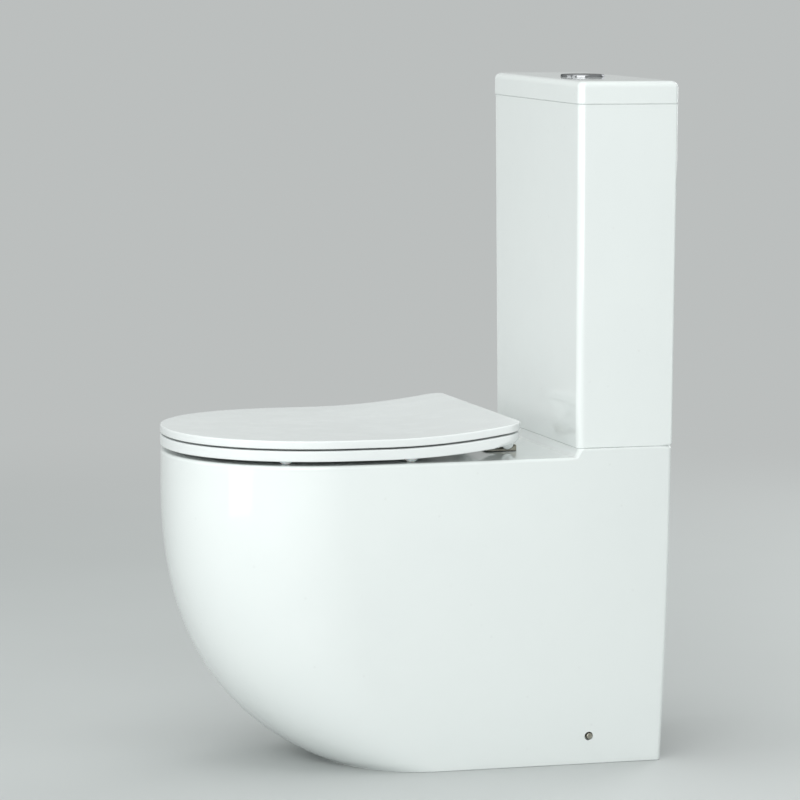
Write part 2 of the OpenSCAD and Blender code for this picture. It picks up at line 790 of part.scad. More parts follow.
module lever_pins() {
    color(steel) translate([0, valve_y, 0])
        for (side = [0, 1]) mirror([side, 0, 0])
            bar_x(lever_half - 1, arm_t + gap + 6, lever_pin_r, pivot_y, lever_z);
}

// ---- Flush button ----

bezel_z = top_z + bezel_h;
housing_floor = rim_z + 4;
housing_r = button_hole_d / 2 - 0.5;
button_bottom = top_z - 8;
full_rod_y = crossbar_y;
half_rod_y = 18;
split_y = 4;
chamfer = 1;
housing_t = 2;

module button_housing() {
    color(steel) translate([0, valve_y, 0]) difference() {
        union() {
            tube(housing_r, button_d / 2 + gap, housing_floor, bezel_z - chamfer);
            translate([0, 0, housing_floor]) cylinder(r = housing_r, h = housing_t);
            difference() {
                union() {
                    translate([0, 0, top_z]) cylinder(d = bezel_d, h = bezel_h - chamfer);
                    translate([0, 0, bezel_z - chamfer])
                        cylinder(r1 = bezel_d / 2, r2 = bezel_d / 2 - chamfer, h = chamfer);
                }
                translate([0, 0, top_z - over]) cylinder(r = button_d / 2 + gap, h = bezel_h + 2 * over);
            }
        }
        for (y = [full_rod_y, half_rod_y]) translate([0, y, housing_floor - over])
            cylinder(r = rod_d / 2 + run, h = housing_t + 2 * over);
    }
}

module button_nut() {
    h = 8;
    color(plain_plastic) translate([0, valve_y, 0])
        ribbed_nut(housing_r + 5, housing_r, top_z - lid_top_t - h, h, 6);
}

// One part of the round button, cut off along a line across it.
module button_part(y0, y1, rod_y) {
    translate([0, valve_y, 0]) difference() {
        intersection() {
            translate([0, 0, button_bottom]) cylinder(d = button_d, h = bezel_z - button_bottom);
            translate([-button_d, y0, button_bottom - over])
                cube([2 * button_d, y1 - y0, bezel_z - button_bottom + 2 * over]);
        }
        translate([0, rod_y, button_bottom - over])
            cylinder(r = rod_d / 2 + nut_clear, h = rod_top - button_bottom + over);
    }
}

module full_flush_button() {
    color(steel) button_part(-button_d, split_y - gap / 2, full_rod_y);
}

module half_flush_button() {
    color(steel) button_part(split_y + gap / 2, button_d, half_rod_y);
}

rod_top = button_bottom + 4;
module full_push_rod() {
    z0 = lever_z + boss_r + gap;
    color(plain_plastic) translate([0, valve_y + full_rod_y, z0]) cylinder(d = rod_d, h = rod_top - z0);
}

module half_push_rod() {
    z0 = tower_deck + deck_t + button_travel + 0.5;
    color(plain_plastic) translate([0, valve_y + half_rod_y, z0]) cylinder(d = rod_d, h = rod_top - z0);
}

// A coil spring from z0 to z1 round the middle, swept as one closed strand.
module spring(r, wire, z0, z1, turns) {
    steps = 12 * turns;
    loft([for (i = [0:steps]) let (a = 30 * i, z = lerp(z0 + wire, z1 - wire, i / steps))
        [for (k = [0:5]) let (b = 60 * k)
            [(r + wire * cos(b)) * cos(a), (r + wire * cos(b)) * sin(a), z - wire * sin(b)]]]);
}

module button_spring(y) {
    color(steel) translate([0, valve_y + y, 0]) rotate(180)
        spring(rod_d / 2 + 1.1, 0.5, housing_floor + housing_t + run, button_bottom - run, 4);
}

module full_button_spring() {
    button_spring(full_rod_y);
}

module half_button_spring() {
    button_spring(half_rod_y);
}

// ---- Fill valve ----

fill_flange_z = floor_z + 2;
fill_flange_r = 16;
fill_nut_h = 9;
shank_d = inlet_d + 2.2;                     // the tail is wider where it passes the nut and floor
shank_z = platform_h - fill_nut_h - 3;
float_z = floor_z + fill_valve_h - 120;
float_h = 55;
float_r = 27;
float_wall = 2;
riser_r = 10;
riser_bore = 5;
fill_top = floor_z + fill_valve_h;
head_r = 19;
head_h = 30;
head_floor = 6;

module at_fill_valve() {
    translate([-fill_x, valve_y, 0]) children();
}

module fill_valve_riser() {
    tail_z = platform_h - inlet_tail;
    flange_t = 4;
    color(plain_plastic) at_fill_valve() difference() {
        union() {
            translate([0, 0, tail_z]) cylinder(d = inlet_d, h = shank_z - tail_z + 1);
            translate([0, 0, shank_z]) cylinder(d = shank_d, h = fill_flange_z - shank_z + 1);
            translate([0, 0, fill_flange_z]) cylinder(r = fill_flange_r, h = flange_t);
            translate([0, 0, fill_flange_z + flange_t])
                cylinder(r1 = fill_flange_r - 3, r2 = riser_r, h = 10);
            translate([0, 0, fill_flange_z]) cylinder(r = riser_r, h = fill_top - fill_flange_z);
            translate([0, 0, float_z - 4]) cylinder(r = riser_r + 3, h = 4 - gap);
        }
        translate([0, 0, tail_z - over]) cylinder(r = riser_bore, h = fill_top - tail_z);
    }
}

module fill_valve_head() {
    spout = [14, 10, 10];
    color(plain_plastic) at_fill_valve() difference() {
        union() {
            translate([0, 0, fill_top]) cylinder(r = head_r, h = head_h);
            translate([head_r - 2, -spout.y / 2, fill_top + head_floor]) cube(spout);
        }
        translate([0, 0, fill_top + head_floor]) cylinder(r = head_r - 4, h = head_h - head_floor + over);
    }
}

module fill_valve_cap() {
    skirt_t = 5;
    color(blue_plastic) at_fill_valve() {
        translate([0, 0, fill_top + head_h]) cylinder(r = head_r + 1, h = skirt_t);
        translate([0, 0, fill_top + head_h + skirt_t]) cylinder(r1 = head_r - 3, r2 = head_r - 7, h = 4);
    }
}

module fill_valve_float() {
    color(blue_plastic) at_fill_valve() difference() {
        translate([0, 0, float_z]) cylinder(r = float_r, h = float_h);
        translate([0, 0, float_z - over]) cylinder(r = riser_r + run, h = float_h + 2 * over);
        tube(float_r - float_wall, riser_r + float_wall + 1, float_z - over, float_z + float_h - 3);
    }
}

module fill_valve_washer() {
    color(rubber_grey) at_fill_valve() tube(fill_flange_r, shank_d / 2 + nut_clear, floor_z, fill_flange_z);
}

module fill_valve_nut() {
    color(plain_plastic) at_fill_valve() difference() {
        translate([0, 0, platform_h - fill_nut_h]) cylinder(r = shank_d / 2 + 7, h = fill_nut_h, $fn = 6);
        translate([0, 0, platform_h - fill_nut_h - over])
            cylinder(r = shank_d / 2 + nut_clear, h = fill_nut_h + 2 * over);
    }
}

// ---- Seat ----

seat_half = pan_w / 2 + seat_overhang;
ring_z = deck_h + bumper_h;                  // underside of the seat ring where it is level
lid_z = ring_z + ring_t + lid_gap;
hinge_x = hinge_spacing / 2;
ear_t = 6;
lug_t = 12;
ring_lug_x = hinge_x - ear_t / 2 - gap - lug_t;
lid_lug_x = hinge_x + ear_t / 2 + gap;
function swept(d) = d < sweep_start ? sweep_r - sqrt(sweep_r * sweep_r - pow(sweep_start - d, 2)) : 0;

// Plan of the ring or lid, extruded through the whole height of the seat.
module seat_plan(rear) {
    translate([0, 0, deck_h]) linear_extrude(80)
        polygon(mirrored(d_half(pan_depth - seat_setback, seat_straight, seat_half, seat_half - seat_draw_in,
            rim_round, rear, seat_corner_r)));
}

// Side view of a sheet t thick whose underside is level at z and sweeps up to the rear.
module swept_sheet(z, t) {
    steps = 10;
    far = sweep_start - lid_rear + 20;
    curve = [for (i = [0:steps]) sweep_start - far * i / steps];
    outline = concat(
        [[wy(pan_depth + 10), z]],
        [for (d = curve) [wy(d), z + swept(d)]],
        [for (i = [steps:-1:0]) [wy(curve[i]), z + t + swept(curve[i])]],
        [[wy(pan_depth + 10), z + t]]
    );
    translate([-pan_w, 0, 0]) rotate([90, 0, 90]) linear_extrude(2 * pan_w) polygon(outline);
}

ring_hole_y = 407;                           // from the wall to the middle of the hole
module ring_hole() {
    half = [for (i = [0:24]) let (a = 7.5 * i)
        [ring_hole_w / 2 * pow(sin(a), 0.9),
         wy(ring_hole_y) - ring_hole_len / 2 * sign(cos(a)) * pow(abs(cos(a)), 0.9)]];
    translate([0, 0, deck_h]) linear_extrude(80) polygon(mirrored(half));
}

// A lug round the hinge pin, cut from sheet across the pin: a barrel and an arm through the given points.
module lug(x, arm) {
    translate([x, 0, 0]) rotate([90, 0, 90]) linear_extrude(lug_t) union() {
        translate([hinge_y, hinge_z]) circle(r = barrel_r);
        polygon([for (p = arm) [hinge_y + p.x, hinge_z + p.y]]);
    }
}

module pin_hole(x0, len) {
    bar_x(x0, len, pin_d / 2 + run, hinge_y, hinge_z);
}

module seat_ring() {
    reach = ring_rear - hinge_from_wall;
    up = ring_z + swept(ring_rear) - hinge_z;
    notch = lug_t + 4;
    color(seat_plastic) difference() {
        union() {
            difference() {
                intersection() {
                    seat_plan(lid_rear + 1);
                    swept_sheet(ring_z, ring_t);
                }
                ring_hole();
                for (side = [0, 1]) mirror([side, 0, 0])
                    translate([lid_lug_x - 2, wy(ring_rear), deck_h]) cube([notch, ring_rear, 80]);
            }
            for (side = [0, 1]) mirror([side, 0, 0])
                lug(ring_lug_x, [[0, -barrel_r + 1], [-reach - 14, up - 1.5], [-reach - 14, up + 2],
                    [-reach + 6, up + 4], [0, barrel_r - 0.5]]);
        }
        for (side = [0, 1]) mirror([side, 0, 0]) pin_hole(ring_lug_x - over, lug_t + 2 * over);
    }
}

bumper_d = 17;
bumper_taper = 6;
bumper_rows = [490, 336];
bumper_x = [147, 160];
module seat_bumpers() {
    color("white") for (i = [0:1]) at_both(bumper_x[i])
        translate([0, wy(bumper_rows[i]), deck_h + gap])
            cylinder(d1 = bumper_d - bumper_taper, d2 = bumper_d,
                h = bumper_h + swept(bumper_rows[i] + bumper_d / 2) - gap);
}

module seat_lid() {
    reach = lid_rear - hinge_from_wall;
    up = lid_z + swept(lid_rear) - hinge_z;
    color(seat_plastic) difference() {
        union() {
            intersection() {
                seat_plan(lid_rear);
                swept_sheet(lid_z, lid_t);
            }
            for (side = [0, 1]) mirror([side, 0, 0])
                lug(lid_lug_x, [[-barrel_r + 0.5, 0], [-reach - 9, up - 8], [-reach - 9, up + 2],
                    [-reach - 0.5, up + 2], [1, barrel_r - 0.5]]);
        }
        for (side = [0, 1]) mirror([side, 0, 0]) pin_hole(lid_lug_x - over, lug_t + 2 * over);
    }
}

buffer_d = 10;
buffer_rows = [540, 330];
buffer_x = [95, 140];
module lid_buffers() {
    color("white") for (i = [0:1]) at_both(buffer_x[i]) {
        low = lid_z - lid_gap + gap + swept(buffer_rows[i] - buffer_d / 2);
        high = lid_z + swept(buffer_rows[i] + buffer_d / 2);
        translate([0, wy(buffer_rows[i]), low]) cylinder(d = buffer_d, h = high - low);
    }
}

// ---- Hinges ----

plate_w = 30;
plate_front = 214;
plate_rear = 175;
lip_z = hinge_z - 3.1;                       // top of the lip behind the barrels
lip_run = 6;
cushion_t = 1;

// Side view of a base: a tongue under the seat, a hollow round the barrels and a lip behind them.
module base_profile(z0) {
    r = barrel_r + 0.6;
    polygon(concat(
        [[wy(plate_rear), z0], [wy(plate_front), z0], [wy(plate_front), z0 + tongue_t]],
        [for (a = [240:20:320]) [hinge_y + r * cos(a), hinge_z + r * sin(a)]],
        [[wy(plate_rear + lip_run + 1.5), lip_z], [wy(plate_rear + 1), lip_z], [wy(plate_rear), lip_z - 1]]
    ));
}

module hinge_bases() {
    z0 = deck_h + cushion_t;
    ear_r = barrel_r - 0.5;
    color(nickel) for (side = [-1, 1]) translate([side * hinge_x, 0, 0]) difference() {
        union() {
            translate([-plate_w / 2, 0, 0]) rotate([90, 0, 90]) linear_extrude(plate_w) base_profile(z0);
            translate([-ear_t / 2, 0, 0]) rotate([90, 0, 90]) linear_extrude(ear_t) union() {
                translate([hinge_y, hinge_z]) circle(r = ear_r);
                translate([hinge_y - ear_r, z0 + 1]) square([2 * ear_r, hinge_z - z0 - 1]);
            }
        }
        bar_x(-plate_w / 2, plate_w, pin_d / 2 + nut_clear, hinge_y, hinge_z);
    }
}

module hinge_pins() {
    x0 = ring_lug_x + 2;
    color(steel) for (side = [0, 1]) mirror([side, 0, 0])
        bar_x(x0, lid_lug_x + lug_t - 2 - x0, pin_d / 2, hinge_y, hinge_z);
}

stud_drop = 30;                              // length of the stud under the deck
module hinge_studs() {
    z0 = under_deck - stud_drop;
    color(steel) at_both(hinge_x) translate([0, stud_y, z0])
        cylinder(d = stud_d, h = deck_h + cushion_t - z0);
}

module hinge_cushions() {
    color(rubber_grey) for (side = [-1, 1]) translate([side * hinge_x, 0, 0]) difference() {
        translate([-plate_w / 2, wy(plate_front), deck_h])
            cube([plate_w, plate_front - plate_rear, cushion_t]);
        translate([0, stud_y, deck_h - over])
            cylinder(r = stud_d / 2 + nut_clear, h = cushion_t + 2 * over);
    }
}

hinge_washer_t = 2.5;
hinge_washer_r = 12;
hinge_nut_h = 8;
hinge_nut_r = 9;
module hinge_washers() {
    color(rubber_grey) at_both(hinge_x) translate([0, stud_y, 0])
        tube(hinge_washer_r, stud_d / 2 + nut_clear, under_deck - hinge_washer_t, under_deck);
}

module hinge_nuts() {
    z0 = under_deck - hinge_washer_t - hinge_nut_h;
    color(steel) at_both(hinge_x) translate([0, stud_y, 0]) difference() {
        union() {
            translate([0, 0, z0]) cylinder(r = hinge_nut_r, h = hinge_nut_h, $fn = 6);
            translate([0, 0, z0]) wing(hinge_nut_r - 1, hinge_nut_r + 5, wing_t, hinge_nut_h - 2);
        }
        translate([0, 0, z0 - over]) cylinder(r = stud_d / 2 + nut_clear, h = hinge_nut_h + 2 * over);
    }
}

// ---- Floor fixing ----

side_half = (rear_w - (rear_w - base_w) * pow(1 - side_hole_h / platform_h, side_power)) / 2;
side_u = (rim_straight - side_hole_from_wall) / (rim_straight - corner_r);
bracket_x = base_w / 2 - skirt_wall - 7;
bracket_t = 3;
bracket_w = 34;
bracket_h = 52;
bracket_foot = 40;                           // how far the bracket lies on the floor
bracket_hole = 22;                           // from the bracket's upright to its floor hole
screw_r = 3;
sleeve_r = side_hole_d / 2 - 0.1;
sleeve_end = side_half - 9;
screw_head_h = 3;
cap_proud = 1.2;                             // how far the cap's rim stands out of the skirt

module floor_brackets() {
    y0 = wy(side_hole_from_wall) - bracket_w / 2;
    color(steel) for (side = [0, 1]) mirror([side, 0, 0]) difference() {
        union() {
            translate([bracket_x - bracket_t, y0, 0]) cube([bracket_t, bracket_w, bracket_h]);
            translate([bracket_x - bracket_foot, y0, 0]) cube([bracket_foot, bracket_w, bracket_t]);
        }
        bar_x(bracket_x - 10, 20, screw_r + nut_clear, wy(side_hole_from_wall), side_hole_h);
        translate([bracket_x - bracket_hole, wy(side_hole_from_wall), -over])
            cylinder(d = floor_hole_d, h = bracket_t + 2 * over);
    }
}

module side_sleeves() {
    color(plain_plastic) for (side = [0, 1]) mirror([side, 0, 0]) difference() {
        bar_x(bracket_x, sleeve_end - bracket_x, sleeve_r, wy(side_hole_from_wall), side_hole_h);
        bar_x(bracket_x - over, sleeve_end - bracket_x + 2 * over, screw_r + nut_clear,
            wy(side_hole_from_wall), side_hole_h);
    }
}

module side_screws() {
    tail = 12;
    color(steel) for (side = [0, 1]) mirror([side, 0, 0]) {
        bar_x(bracket_x - tail, sleeve_end - bracket_x + tail + over, screw_r,
            wy(side_hole_from_wall), side_hole_h);
        bar_x(sleeve_end, screw_head_h, sleeve_r - 0.9, wy(side_hole_from_wall), side_hole_h);
    }
}

module side_caps() {
    x0 = sleeve_end + screw_head_h;
    rim = side_half + cap_proud;
    color(nickel) for (side = [0, 1]) mirror([side, 0, 0]) {
        bar_x(x0, rim - x0, sleeve_r, wy(side_hole_from_wall), side_hole_h);
        translate([rim, wy(side_hole_from_wall), side_hole_h]) rotate([0, 90, 0])
            cylinder(r1 = sleeve_r, r2 = sleeve_r - 1.1, h = 0.8);
    }
}

pan();
bowl();
trapway();
flush_channel();
cistern();
cistern_lid();
coupling_gasket();
coupling_bolts();
coupling_seals();
coupling_washers();
coupling_wing_nuts();
flush_valve_base();
flush_valve_washer();
flush_valve_nut();
flush_valve_tower();
overflow_pipe();
valve_seal();
valve_float();
lift_lever();
lever_pins();
button_housing();
button_nut();
full_flush_button();
half_flush_button();
full_push_rod();
half_push_rod();
full_button_spring();
half_button_spring();
fill_valve_riser();
fill_valve_head();
fill_valve_cap();
fill_valve_float();
fill_valve_washer();
fill_valve_nut();
seat_ring();
seat_bumpers();
seat_lid();
lid_buffers();
hinge_bases();
hinge_pins();
hinge_studs();
hinge_cushions();
hinge_washers();
hinge_nuts();
floor_brackets();
side_sleeves();
side_screws();
side_caps();
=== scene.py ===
# Close coupled toilet: smooth ceramic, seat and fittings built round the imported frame.
import json
import math

import bmesh
import bpy
from mathutils import Matrix, Vector

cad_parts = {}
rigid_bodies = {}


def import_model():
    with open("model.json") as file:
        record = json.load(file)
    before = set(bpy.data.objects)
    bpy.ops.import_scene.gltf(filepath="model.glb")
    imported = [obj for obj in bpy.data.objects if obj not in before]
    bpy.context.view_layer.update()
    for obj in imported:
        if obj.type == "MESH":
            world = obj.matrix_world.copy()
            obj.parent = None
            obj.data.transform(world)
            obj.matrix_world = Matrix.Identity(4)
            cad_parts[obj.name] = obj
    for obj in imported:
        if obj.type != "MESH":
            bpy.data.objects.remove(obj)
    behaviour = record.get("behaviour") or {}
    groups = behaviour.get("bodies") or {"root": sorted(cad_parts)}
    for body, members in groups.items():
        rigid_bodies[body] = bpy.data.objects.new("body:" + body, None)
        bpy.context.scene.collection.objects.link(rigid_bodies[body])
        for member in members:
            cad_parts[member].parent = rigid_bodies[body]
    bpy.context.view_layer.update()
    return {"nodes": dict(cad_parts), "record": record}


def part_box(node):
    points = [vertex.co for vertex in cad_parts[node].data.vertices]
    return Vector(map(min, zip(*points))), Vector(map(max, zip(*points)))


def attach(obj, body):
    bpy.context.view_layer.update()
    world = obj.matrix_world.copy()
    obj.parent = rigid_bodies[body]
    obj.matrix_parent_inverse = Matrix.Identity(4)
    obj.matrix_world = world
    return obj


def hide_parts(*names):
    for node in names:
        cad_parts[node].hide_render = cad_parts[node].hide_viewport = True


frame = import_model()
nodes = frame["nodes"]
print("frame loaded,", len(nodes), "nodes")

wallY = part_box("pan")[1][1]          # the wall stands at the pan's rear face


def lerp(a, b, u):
    return a + (b - a) * u


def mix(u, a, b, c, d):
    return a * (1 - u) ** 3 + 3 * b * u * (1 - u) ** 2 + 3 * c * u * u * (1 - u) + d * u ** 3


def smooth(u):
    u = min(1, max(0, u))
    return u * u * (3 - 2 * u)


def addObject(name, data):
    item = bpy.data.objects.new(name, data)
    bpy.context.collection.objects.link(item)
    return item


# camera and light
camera = {
    "lens": 184.231,
    "place": (4.88016, -1.45430, 1.01842),
    "turn": 0.289534,
    "pitch": 0.111736,
    "roll": 0.005388,
}
turn, pitch, roll = camera["turn"], camera["pitch"], camera["roll"]
ahead = Vector((-math.cos(turn) * math.cos(pitch), math.sin(turn) * math.cos(pitch), -math.sin(pitch)))
right = Vector((math.sin(turn), math.cos(turn), 0))
up = right.cross(ahead)
rightRolled = right * math.cos(roll) + up * math.sin(roll)
upRolled = up * math.cos(roll) - right * math.sin(roll)
cameraData = bpy.data.cameras.new("camera")
cameraData.lens = camera["lens"]
cameraData.sensor_width = 36
cameraData.clip_end = 60
cameraObject = addObject("camera", cameraData)
facing = Matrix((rightRolled, upRolled, -ahead)).transposed().to_4x4()
cameraObject.matrix_world = Matrix.Translation(camera["place"]) @ facing
bpy.context.scene.camera = cameraObject
bpy.context.scene.view_settings.view_transform = "Standard"

lamps = {
    "sideBox": {"place": (2.9, -1.3, 1.25), "aim": (0, -0.05, 0.3), "size": (2.6, 2.2), "power": 55},
    "topBox": {"place": (0.5, -0.3, 3.2), "aim": (0, 0, 0.3), "size": (2.2, 2.2), "power": 28},
    "frontBox": {"place": (-0.3, -3.2, 1.2), "aim": (0, -0.2, 0.4), "size": (1.6, 1.6), "power": 12},
    "window": {"place": (0.79, -1.6, 0.95), "aim": (0.14, -0.24, 0.95), "size": (0.58, 1.9), "power": 4.8},
    "leftBox": {"place": (-2.2, 2.7, 1.4), "aim": (0, 0.05, 0.4), "size": (1.8, 1.8), "power": 34},
}
for name, lamp in lamps.items():
    light = bpy.data.lights.new(name, "AREA")
    light.shape = "RECTANGLE"
    light.size, light.size_y = lamp["size"]
    light.energy = lamp["power"]
    light.color = (0.98, 1.0, 1.0)
    holder = addObject(name, light)
    holder.visible_camera = False
    toAim = Vector(lamp["aim"]) - Vector(lamp["place"])
    holder.matrix_world = Matrix.Translation(lamp["place"]) @ toAim.to_track_quat("-Z", "Y").to_matrix().to_4x4()
print("camera and lamps set")


def feed(tree, socket, value):
    # a socket takes the result of another one, or a plain value
    if isinstance(value, bpy.types.NodeSocket):
        tree.links.new(value, socket)
    else:
        socket.default_value = value


def addNode(tree, kind, settings=None, **values):
    node = tree.nodes.new(kind)
    for label, value in (settings or {}).items():
        setattr(node, label, value)
    for label, value in values.items():
        feed(tree, node.inputs[label.replace("_", " ")], value)
    return node


def newGroup(name, inputs, outputs):
    group = bpy.data.node_groups.new(name, "ShaderNodeTree")
    for label, value in inputs.items():
        kind = "NodeSocketColor" if isinstance(value, tuple) else "NodeSocketFloat"
        socket = group.interface.new_socket(label, in_out="INPUT", socket_type=kind)
        socket.default_value = value
    for label, kind in outputs.items():
        group.interface.new_socket(label, in_out="OUTPUT", socket_type="NodeSocket" + kind)
    given, out = group.nodes.new("NodeGroupInput"), group.nodes.new("NodeGroupOutput")
    return group, given.outputs, out.inputs, addNode(group, "ShaderNodeTexCoord").outputs["Object"]


def addMath(tree, kind, *values):
    node = addNode(tree, "ShaderNodeMath", {"operation": kind})
    for socket, value in zip(node.inputs, values):
        feed(tree, socket, value)
    return node.outputs[0]


def addNoise(tree, vector, size, detail=2.0, roughness=0.5):
    # size says how large the features of the noise are
    scale = addMath(tree, "DIVIDE", 1.0, size)
    return addNode(tree, "ShaderNodeTexNoise", Vector=vector, Scale=scale, Detail=detail,
                   Roughness=roughness).outputs["Fac"]


def addRange(tree, value, low, high, toLow, toHigh):
    return addNode(tree, "ShaderNodeMapRange", Value=value, From_Min=low, From_Max=high, To_Min=toLow,
                   To_Max=toHigh).outputs["Result"]


def addBlend(tree, factor, a, b):
    node = addNode(tree, "ShaderNodeMix", {"data_type": "RGBA"}, Factor=factor)
    feed(tree, node.inputs[6], a)
    feed(tree, node.inputs[7], b)
    return node.outputs[2]


# slow waves and fine orange peel of a fired or moulded gloss surface
surfaceRipple, given, out, coords = newGroup(
    "surfaceRipple", {"Wave Size": 0.05, "Wave Depth": 1.0, "Peel Size": 0.002, "Peel Depth": 0.1},
    {"Height": "Float"})
waves = [addMath(surfaceRipple, "MULTIPLY", given[kind + " Depth"],
                 addNoise(surfaceRipple, coords, given[kind + " Size"])) for kind in ("Wave", "Peel")]
feed(surfaceRipple, out["Height"], addMath(surfaceRipple, "ADD", *waves))

# a colour that drifts a little over the piece, with sparse pin specks
colourDrift, given, out, coords = newGroup(
    "colourDrift", {"Colour": (0.8, 0.8, 0.8, 1), "Deep Colour": (0.75, 0.75, 0.75, 1), "Patch Size": 0.08,
                    "Speck Size": 0.004, "Speck Amount": 0.0}, {"Colour": "Color"})
patches = addRange(colourDrift, addNoise(colourDrift, coords, given["Patch Size"], 3.0), 0.35, 0.65, 0.0, 1.0)
cells = addNode(colourDrift, "ShaderNodeTexVoronoi", Vector=coords,
                Scale=addMath(colourDrift, "DIVIDE", 1.0, given["Speck Size"]))
specks = addRange(colourDrift, cells.outputs["Distance"], 0.0, 0.08, given["Speck Amount"], 0.0)
drifted = addBlend(colourDrift, patches, given["Colour"], given["Deep Colour"])
feed(colourDrift, out["Colour"], addBlend(colourDrift, specks, drifted, (0.45, 0.44, 0.42, 1)))

# fine parallel lines left by brushing or turning, along the x axis of the piece
brushLines, given, out, coords = newGroup(
    "brushLines", {"Line Width": 0.0004, "Stretch": 60.0, "Low": 0.2, "High": 0.4},
    {"Roughness": "Float", "Height": "Float"})
split = addNode(brushLines, "ShaderNodeSeparateXYZ", Vector=coords).outputs
stretched = addNode(brushLines, "ShaderNodeCombineXYZ", X=addMath(brushLines, "DIVIDE", split["X"], given["Stretch"]),
                    Y=split["Y"], Z=split["Z"])
lines = addNoise(brushLines, stretched.outputs[0], given["Line Width"], 3.0)
feed(brushLines, out["Roughness"], addRange(brushLines, lines, 0.3, 0.7, given["Low"], given["High"]))
feed(brushLines, out["Height"], lines)

# smudges of use: a soft mask that dulls a polished surface in places
useSmudge, given, out, coords = newGroup(
    "useSmudge", {"Patch Size": 0.02, "Clean": 0.1, "Dull": 0.25}, {"Roughness": "Float"})
smudge = addNoise(useSmudge, coords, given["Patch Size"], 4.0, 0.6)
feed(useSmudge, out["Roughness"], addRange(useSmudge, smudge, 0.45, 0.75, given["Clean"], given["Dull"]))


# what the numbers of each part of a finish mean, in their order
finishLabels = {
    "drift": ("Colour", "Deep Colour", "Patch Size", "Speck Size", "Speck Amount"),
    "smudge": ("Patch Size", "Clean", "Dull"),
    "brush": ("Line Width", "Stretch", "Low", "High"),
    "ripple": ("Wave Size", "Wave Depth", "Peel Size", "Peel Depth"),
}


def placeGroup(material, group, part, values):
    node = addNode(material.node_tree, "ShaderNodeGroup", {"node_tree": group})
    for label, value in zip(finishLabels[part], values):
        node.inputs[label].default_value = value
    return node.outputs


def newMaterial(name, finish):
    material = bpy.data.materials.new(name)
    material.use_nodes = True
    tree = material.node_tree
    shader = tree.nodes["Principled BSDF"].inputs
    for label, value in finish["shader"].items():
        shader[label].default_value = value
    material.diffuse_color = finish["drift"][0]
    feed(tree, shader["Base Color"], placeGroup(material, colourDrift, "drift", finish["drift"])["Colour"])
    if "smudge" in finish:
        feed(tree, shader["Roughness"], placeGroup(material, useSmudge, "smudge", finish["smudge"])["Roughness"])
        height = placeGroup(material, surfaceRipple, "ripple", finish["ripple"])["Height"]
    else:
        brush = placeGroup(material, brushLines, "brush", finish["brush"])
        feed(tree, shader["Roughness"], brush["Roughness"])
        height = brush["Height"]
    strength, distance = finish["bump"]
    bump = addNode(tree, "ShaderNodeBump", Strength=strength, Distance=distance, Height=height)
    feed(tree, shader["Normal"], bump.outputs["Normal"])
    return material


